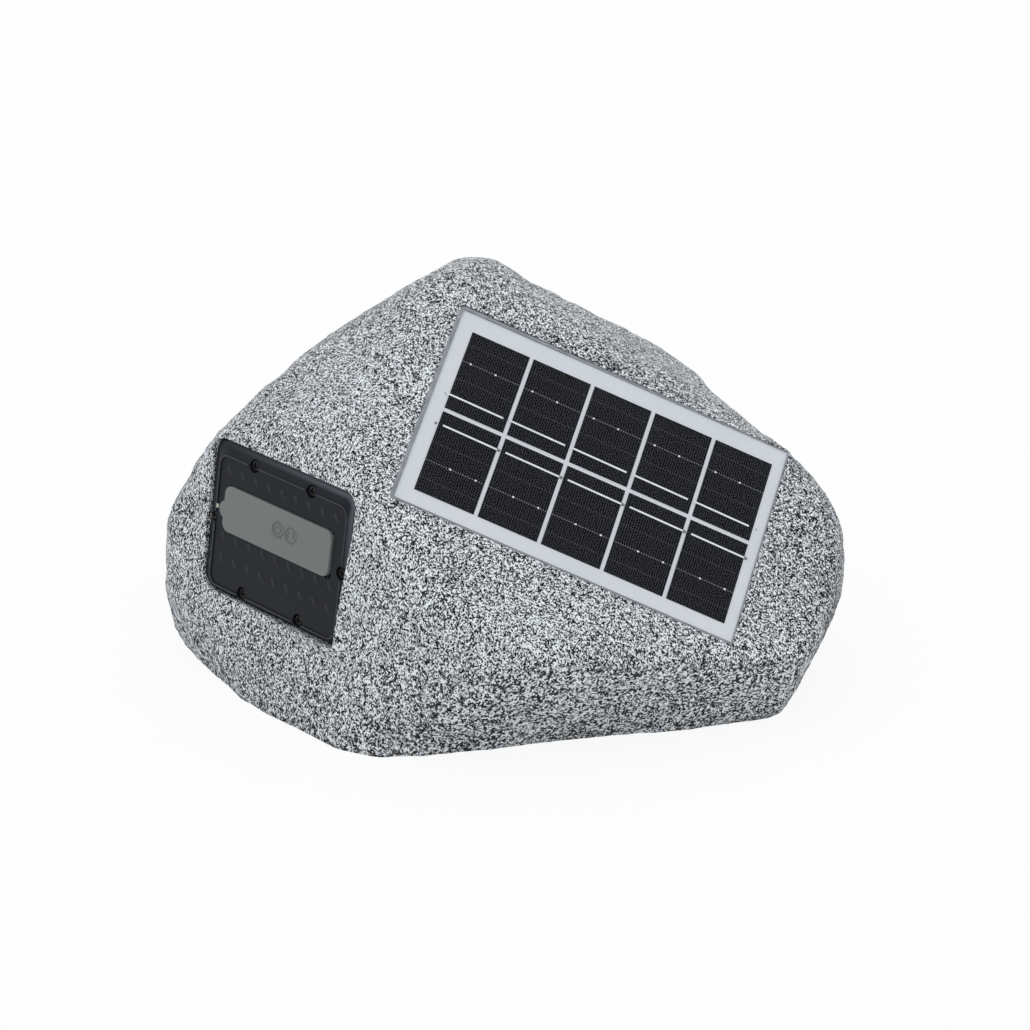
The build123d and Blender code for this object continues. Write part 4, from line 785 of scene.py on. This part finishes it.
# Place and size of the band of painted shade above the panel.
PANEL_SHADE_UP, PANEL_SHADE_WIDTH, PANEL_SHADE_LENGTH, PANEL_SHADE_DEPTH = 4.0, 5.5, 85.0, 14.0
GREYS = ((0.0, 0.003), (0.275, 0.006), (0.385, 0.07), (0.535, 0.42), (0.675, 0.84), (1.0, 0.96))
drawn = place.add("ShaderNodeVectorMath", {"operation": "MULTIPLY"}, {0: place, 1: (1.0, 1.0, DRAWN_OUT)})
bend = place.add("ShaderNodeTexNoise", None, {"Vector": place, "Scale": GRAIN, "Detail": 1.0}, out=1)
bent = place.add("ShaderNodeVectorMath", {"operation": "MULTIPLY_ADD"}, {0: bend, 1: (BEND,) * 3, 2: drawn})
cells = place.add("ShaderNodeTexVoronoi", None, {"Vector": bent, "Scale": GRAIN}, out=1)
fine = cells.add("ShaderNodeSeparateColor", None, {0: cells}, out=0)
cells = place.add("ShaderNodeTexVoronoi", None, {"Vector": bent, "Scale": GRAIN * COARSE}, out=1)
coarse = cells.add("ShaderNodeSeparateColor", None, {0: cells}, out=0)
under = place.add("ShaderNodeAttribute", {"attribute_name": "under"}, out="Fac")
grain = fine + (coarse - fine) * under
cluster = place.noise(330.0, 3.0, 0.6)
broad = place.noise(22.0, 3.0)
# Near the floor the clumps grow stronger, and a painted shade darkens the stone a little.
low = (1 - place.dot((0, 0, 1)) / LOW_HEIGHT).math("MAXIMUM", 0.0)
# Painted shade: the right end, which turns away from the light, is darkened.
end = ((place.dot((1, 0, 0)) - SHADED_END_START) / SHADED_END_LENGTH).clamped()
# A band of painted shade in the hollow along the panel's top edge. It also strengthens the clumps there.
above = abs(along(place, PANEL, 1, PANEL_SIZE[1] / 2 + PANEL_SHADE_UP)) / PANEL_SHADE_WIDTH
beside = abs(along(place, PANEL, 0)) / PANEL_SHADE_LENGTH
depth = abs(along(place, PANEL, 2)) < PANEL_SHADE_DEPTH
panel_shade = (1 - above).math("MAXIMUM", 0.0) * (1 - beside).math("MAXIMUM", 0.0) * depth
clumps = (cluster - 0.5) * (0.55 + low * 0.8 + panel_shade * 0.7)
tone = grain + clumps + (broad - 0.5) * 0.2 - low * 0.03 - end * 0.07 - panel_shade * 0.13
shade = tone.ramp(*((stop, (0.945 * grey, grey, min(1.05 * grey + 0.003, 1))) for stop, grey in GREYS))
height = grain * 0.4 + place.noise(420.0, 2.0) * 1.2 + cluster * 0.9
feed(shader, Base_Color=shade, Roughness=0.72 + grain * 0.2, Normal=height.bump(0.55, 0.0007))
wear(granite, rock_skin, cover_well, driver_well, "rock_shell")

# %% [markdown]
# ## Solar panel
# Under the clear sheet lie ten nearly black cells on a white backing. Each cell has fine silver
# fingers about a millimetre apart, a dotted busbar with two bright solder pads, and two faint dashed
# lines. The lower row is the upper one turned half round. The pattern is written in millimetres along
# the panel's own axes, which are dot products of the Object coordinates.

# %% Cells
CELL, PITCH, SHIFT = (29.5, 44.3), (31.55, 46.55), (0.9, -0.8)
FINGER_PITCH, BUSBAR_DOWN, FAINT_DOWN, PAD_COLUMNS = 1.187, 16.9, (7.3, 27.0), (0.15, 0.58)


def on_panel(place):
    """Millimetres across and up the panel, from the middle of its cells."""
    return along(place, PANEL, 0, SHIFT[0]), along(place, PANEL, 1, SHIFT[1])


def band(value, middle, half):
    """1 within half of the middle, otherwise 0."""
    return abs(value - middle) < half


cells_finish, shader, place = new_finish("solar_cells", Specular_IOR_Level=0.0)
across, rise = on_panel(place)
side = rise.math("SIGN")
down = PITCH[1] / 2 + CELL[1] / 2 - rise * side
column = (across * side / PITCH[0] + 2.5).math("FRACT") * PITCH[0] - (PITCH[0] - CELL[0]) / 2

wave = (across / FINGER_PITCH).math("FRACT")
fingers = (abs(wave - 0.5) * 2).math("POWER", 3.0)
dashes = wave < 0.5
busbar = band(down, BUSBAR_DOWN, 0.22) * dashes
faint = (band(down, FAINT_DOWN[0], 0.16) + band(down, FAINT_DOWN[1], 0.16)) * dashes
first_pad, second_pad = (band(column, part * CELL[0], 0.45) for part in PAD_COLUMNS)
pads = band(down, BUSBAR_DOWN, 0.42) * (first_pad + second_pad)
mottle = place.noise(60.0, 3.0)
dark = mottle.mix((0.005, 0.006, 0.009, 1), (0.008, 0.009, 0.012, 1))
lined = fingers.mix(dark, (0.044, 0.046, 0.051, 1))
lined = (faint * 0.3).mix(lined, (0.25, 0.26, 0.27, 1))
lined = (busbar * 0.75).mix(lined, (0.28, 0.285, 0.29, 1))
lined = pads.math("MINIMUM", 1.0).mix(lined, (0.9, 0.9, 0.9, 1))
feed(shader, Base_Color=lined, Roughness=0.3 + mottle * 0.2)
wear(cells_finish, "solar_cells")

# %% [markdown]
# The ribbons join the cells in a string. Each lies a little askew, with a bright tinned middle, and its
# end that leaves the cell is soldered over the gap: grey in the lower row, and nearly as pale as the
# backing in the upper one. The backing shows the rest of each solder joint.

# %% Ribbons and backing
RIBBON_UP, RIBBON_SKEW, RIBBON_CORE, RIBBON_SOFT = 8.475, 0.012, 0.36, 0.2
ribbon, shader, place = new_finish("tinned_ribbon", Metallic=0.1)
across, rise = on_panel(place)
from_middle = (across / PITCH[0] + 10.5).math("FRACT") * PITCH[0] - PITCH[0] / 2
off_line = rise - rise.math("SIGN") * RIBBON_UP + from_middle * RIBBON_SKEW
edge = ((abs(off_line) - RIBBON_CORE) / RIBBON_SOFT).clamped()
between = abs(from_middle) > CELL[0] / 2
streak = place.noise(300.0, 2.0)
bright = streak.ramp((0.3, (0.73, 0.765, 0.8)), (0.7, (0.86, 0.885, 0.91)))
tinned = edge.mix(bright, (0.02, 0.022, 0.027, 1))
soldered = (rise < 0).mix((0.685, 0.723, 0.77, 1), (0.2, 0.21, 0.225, 1))
feed(shader, Base_Color=between.mix(tinned, soldered), Roughness=0.3 + streak * 0.25)
wear(ribbon, "cell_ribbons")

JOINT_RADIUS, JOINT_SHIFT, END_JOINT = 0.8, -0.2, 79.6
backing, shader, place = new_finish("backsheet", Specular_IOR_Level=0.0)
haze = place.noise(35.0, 3.0)
across, rise = on_panel(place)


def spot(x, y):
    """1 within a solder joint's radius of the place where both wires are 0."""
    return (x * x + y * y) < JOINT_RADIUS ** 2


from_gap = (across / PITCH[0] + 10).math("FRACT") * PITCH[0] - PITCH[0] / 2 - JOINT_SHIFT
low_joint = spot(from_gap, rise + RIBBON_UP)
end_joint = spot(abs(across) - END_JOINT, rise - RIBBON_UP)
white = haze.mix((0.645, 0.685, 0.735, 1), (0.725, 0.76, 0.81, 1))
marked = (low_joint * 0.85 + end_joint * 0.4).mix(white, (0.17, 0.18, 0.19, 1))
feed(shader, Base_Color=marked, Roughness=0.3 + haze * 0.2)
wear(backing, "solar_backsheet")

# %% [markdown]
# The sheet is clear plastic and thin. A glass shader would bend the light and darken the cells, so most
# of it is simply transparent. A little gloss is mixed in, more at a glancing angle and where dust lies.
# The sealant is grey rubber, and a slow noise smears its colour, its sheen and its surface together.

# %% Clear sheet and sealant
clear_sheet, shader, place = new_finish("clear_sheet")
tree = clear_sheet.node_tree
glance = place.add("ShaderNodeFresnel", None, {"IOR": 1.3})
dust = place.noise(90.0, 4.0)
through = place.add("ShaderNodeBsdfTransparent")
gloss = place.add("ShaderNodeBsdfGlossy", None, {"Color": (0.95, 0.97, 1.0, 1), "Roughness": 0.12})
sheet = place.add("ShaderNodeMixShader", None, {0: glance * (0.12 + dust * 0.09), 1: through, 2: gloss})
tree.nodes.remove(shader)
tree.links.new(sheet.socket, tree.nodes["Material Output"].inputs[0])
wear(clear_sheet, panel_sheet, "solar_cover")

sealant, shader, place = new_finish("sealant", Specular_IOR_Level=0.4)
smear = place.noise(140.0, 4.0)
grey = smear.ramp((0.3, (0.19, 0.212, 0.235)), (0.7, (0.31, 0.34, 0.37)))
feed(shader, Base_Color=grey, Roughness=0.45 + smear * 0.3, Normal=smear.bump(0.25, 0.0005))
wear(sealant, panel_bead, "panel_seal")

# %% [markdown]
# ## Moulded plastic, rubber and metal
# Moulded plastic is never one flat colour: the tool's spark-eroded texture catches light as tiny
# pits, handling leaves paler patches, and the sheen drifts. One function writes that idea for plastic,
# rubber and metal alike. A list then gives each finish its name, colour and settings and the pieces
# that wear it.

# %% A family of moulded finishes


def moulded(name, colour, sheen=0.45, grain=900.0, pits=0.12, drift=0.12, **constants):
    """A moulded surface: colour and sheen drift with broad noise, and fine noise pits the surface."""
    material, shader, place = new_finish(name, **constants)
    patch = place.noise(28.0, 3.0)
    fine = place.noise(grain, 2.0)
    deep = tuple(c * (1 - drift) for c in colour) + (1,)
    pale = tuple(min(c * (1 + drift) + 0.002, 1) for c in colour) + (1,)
    feed(shader, Base_Color=patch.mix(deep, pale), Roughness=(sheen - 0.08) + patch * 0.1 + fine * 0.08,
         Normal=fine.bump(pits, 0.0003))
    return material


FINISHES = (
    # The studs are the cover's plastic painted paler, a painted highlight that makes them stand out.
    ("cover_plastic", (0.024, 0.026, 0.031),
     dict(sheen=0.36, grain=1500.0, pits=0.06, Specular_IOR_Level=0.2), [cover_studs]),
    # The bead is the cover's plastic painted paler, a painted highlight along its top.
    ("cover_line_highlit", (0.022, 0.024, 0.028),
     dict(sheen=0.35, grain=1500.0, pits=0.04, Specular_IOR_Level=0.35), [field_bead]),
    ("flap_rubber", (0.178, 0.195, 0.191),
     dict(sheen=0.62, grain=1600.0, pits=0.08, Specular_IOR_Level=0.3), ["port_cover"]),
    # The raised marks are the flap's rubber painted darker, a painted shade that makes their relief show.
    ("flap_line_shaded", (0.125, 0.138, 0.135),
     dict(sheen=0.6, grain=1600.0, pits=0.08, Specular_IOR_Level=0.3), [flap_marks]),
    ("pin_steel", (0.03, 0.031, 0.033), dict(sheen=0.5, grain=800.0, pits=0.1, Metallic=0.5), ["hinge_pin"]),
    ("black_oxide", (0.012, 0.012, 0.013), dict(sheen=0.38, grain=1200.0, pits=0.1, Metallic=0.6),
     [cover_heads, ring_heads, "cover_screws", "ring_screws"]),
    ("lamp_lens", (0.42, 0.41, 0.35), dict(sheen=0.35), ["status_lamp"]),
    ("base_plastic", (0.028, 0.028, 0.03), dict(sheen=0.6, grain=500.0, pits=0.25),
     ["base_plate", "control_box", "battery_tray", "junction_box", "grille_ring"]),
    ("foam_rubber", (0.018, 0.018, 0.018), dict(sheen=0.85, grain=700.0, pits=0.4),
     ["base_gasket", "cover_gasket", "driver_gasket", "box_grommet", "surround"]),
    ("button_plastic", (0.04, 0.04, 0.045), dict(sheen=0.35), ["power_button", "pairing_button"]),
    ("grille_paint", (0.016, 0.016, 0.017), dict(sheen=0.5, grain=800.0, pits=0.2),
     ["grille", "driver_basket"]),
    ("cone_paper", (0.022, 0.022, 0.022), dict(sheen=0.75, grain=400.0, pits=0.4), ["cone", "dust_cap"]),
    ("black_parts", (0.02, 0.02, 0.02), dict(sheen=0.5),
     ["tact_switches", "amplifier_chip", "inductors", "terminal_strip", "capacitors"]),
    ("board_mask", (0.015, 0.12, 0.05), dict(sheen=0.35), ["control_board", "amplifier_board"]),
    ("white_nylon", (0.7, 0.69, 0.65), dict(sheen=0.5), ["board_sockets"]),
    ("cell_wrap", (0.04, 0.18, 0.42), dict(sheen=0.3), ["battery_cells"]),
    ("lead_jacket", (0.018, 0.018, 0.018), dict(sheen=0.5),
     ["solar_lead", "control_lead", "speaker_lead", "battery_lead"]),
    ("spider_cloth", (0.5, 0.36, 0.13), dict(sheen=0.85, grain=300.0, pits=0.4), [cloth_ring, "spider"]),
    ("ferrite", (0.045, 0.045, 0.05), dict(sheen=0.6, grain=300.0, pits=0.3), ["magnet"]),
    ("zinc_plate", (0.55, 0.56, 0.58), dict(sheen=0.35, grain=600.0, pits=0.08, Metallic=1.0),
     ["base_screws", "control_board_screws", "driver_screws", "board_screws", "strap_screws", "top_plate",
      "pole_yoke", "usb_socket", "battery_strap", "heat_sink"]),
    ("coil_copper", (0.6, 0.28, 0.12), dict(sheen=0.35, Metallic=1.0), ["voice_coil"]))
for name, colour, settings, pieces in FINISHES:
    wear(moulded(name, colour, **settings), *pieces)

# %% [markdown]
# The cover is black, and its rounded shoulder has a paler line, most towards the upper right: a painted
# highlight where the shoulder catches the light. The line could be modelled, but it is only a change of
# colour. How far a point lies in from the cover's rounded outline comes from its place on the cover, and a
# narrow band of that is painted pale.

# %% Finish of the cover
SHOULDER_INSET, SHOULDER_HALF, SHOULDER_CORNER = 2.0, 1.9, 8.0
COOL_TINT = (0.84, 0.93, 1.0, 1.0)
shell_finish, shader, place = new_finish("cover_shell", Specular_IOR_Level=0.17, Specular_Tint=COOL_TINT)
x, y = along(place, COVER, 0), along(place, COVER, 1)
over_x = (abs(x) - (COVER_SIZE[0] / 2 - SHOULDER_CORNER)).math("MAXIMUM", 0.0)
over_y = (abs(y) - (COVER_SIZE[1] / 2 - SHOULDER_CORNER)).math("MAXIMUM", 0.0)
inset = SHOULDER_CORNER - (over_x * over_x + over_y * over_y).math("SQRT")
# A painted highlight: a band along the shoulder, paler towards the upper right where it catches the light.
shoulder = (1 - abs(inset - SHOULDER_INSET) / SHOULDER_HALF).math("MAXIMUM", 0.0)
lit = (x / COVER_SIZE[0] + y / COVER_SIZE[1] + 0.1).clamped()
patch, fine = place.noise(28.0, 3.0), place.noise(1500.0, 2.0)
plain = patch.mix((0.0074, 0.0085, 0.0125, 1), (0.0113, 0.0127, 0.018, 1))
highlighted = (shoulder * lit).mix(plain, (0.1, 0.109, 0.13, 1))
feed(shader, Base_Color=highlighted, Roughness=0.34 + patch * 0.1 + fine * 0.08, Normal=fine.bump(0.06, 0.0003))
wear(shell_finish, "control_cover")

# %% [markdown]
# ## Studio
# The photograph is lit softly and evenly on white. Most of the light is a pale world, which comes from
# all sides as in a light tent. A large lamp overhead gives the shape, and a weak one at the right keeps
# the far end open. The floor is white to the camera and still takes a faint shadow.

# %% Floor, lamps and world
FLOOR_HALF, BOUNCE, SKY, LAMP_SIZE = 6.0, 0.8, 0.84, 1.6


def seen_plainly(wire):
    """1 for rays from the camera, off gloss or through glass, which find plain white, otherwise 0."""
    ray = wire.add("ShaderNodeLightPath", out="Is Camera Ray")
    outputs = ray.socket.node.outputs
    glossy = Wire(wire.tree, outputs["Is Glossy Ray"])
    through = Wire(wire.tree, outputs["Is Transmission Ray"])
    return (ray + glossy + through).math("MINIMUM", 1.0)


floor_mesh = bpy.data.meshes.new("floor")
floor_corners = [(x * FLOOR_HALF, y * FLOOR_HALF, 0) for x, y in ((-1, -1), (1, -1), (1, 1), (-1, 1))]
floor_mesh.from_pydata(floor_corners, [], [(0, 1, 2, 3)])
floor = bpy.data.objects.new("floor", floor_mesh)
bpy.context.scene.collection.objects.link(floor)
paper, shader, place = new_finish("floor_paper", Roughness=0.9, Specular_IOR_Level=0.0)
tree = paper.node_tree
seen = seen_plainly(place)
feed(shader, Base_Color=seen.mix((BOUNCE, BOUNCE, BOUNCE, 1), (0.95, 0.95, 0.95, 1)))
white = place.add("ShaderNodeEmission", None, {"Color": (1, 1, 1, 1), "Strength": 1.0})
blend = place.add("ShaderNodeMixShader", None, {0: seen * 0.9, 1: Wire(tree, shader.outputs[0]), 2: white})
tree.links.new(blend.socket, tree.nodes["Material Output"].inputs[0])
floor_mesh.materials.append(paper)

world = bpy.data.worlds.new("studio")
bpy.context.scene.world = world
world.use_nodes = True
tree = world.node_tree
strength = SKY + seen_plainly(Wire(tree)) * (1 - SKY)
tree.nodes["Background"].inputs["Color"].default_value = (1, 1, 1, 1)
tree.links.new(strength.socket, tree.nodes["Background"].inputs["Strength"])


def softbox(name, place, power):
    """A square area lamp that looks from a place, in metres, at the rock's core, with a power in watts."""
    data = bpy.data.lights.new(name, "AREA")
    data.size = LAMP_SIZE
    data.energy = power
    lamp = bpy.data.objects.new(name, data)
    lamp.location = place
    look = CORE * MM - place
    tip = math.acos(-look[2] / np.linalg.norm(look))
    swing = math.atan2(look[1], look[0]) - math.pi / 2
    lamp.rotation_euler = (tip, 0, swing)
    bpy.context.scene.collection.objects.link(lamp)
    print(name, "lamp of", power, "watts, tipped by", round(math.degrees(tip)), "degrees")


softbox("key", (-0.7, -0.6, 1.9), 5.2)
softbox("fill", (1.5, -1.1, 1.1), 1.3)

# %% [markdown]
# ## Camera
# The photograph looks down at the front by about 25 degrees from a metre and a half away. The camera
# has that height, distance and angle of view: the focal length in pixels, over the width in pixels,
# times the width of the sensor.

# %% Camera and size
SENSOR, FOCAL_PIXELS, WIDTH_PIXELS, LOOK_DOWN = 36, 3050, 1030, 25
scene = bpy.context.scene
scene.view_settings.view_transform = "Standard"
camera = bpy.data.objects.new("camera", bpy.data.cameras.new("camera"))
scene.collection.objects.link(camera)
camera.location = (0.0049, -1.3234, 0.6971)
camera.rotation_euler = (math.radians(90 - LOOK_DOWN), 0, 0)
camera.data.sensor_width = SENSOR
camera.data.lens = SENSOR * FOCAL_PIXELS / WIDTH_PIXELS
scene.camera = camera
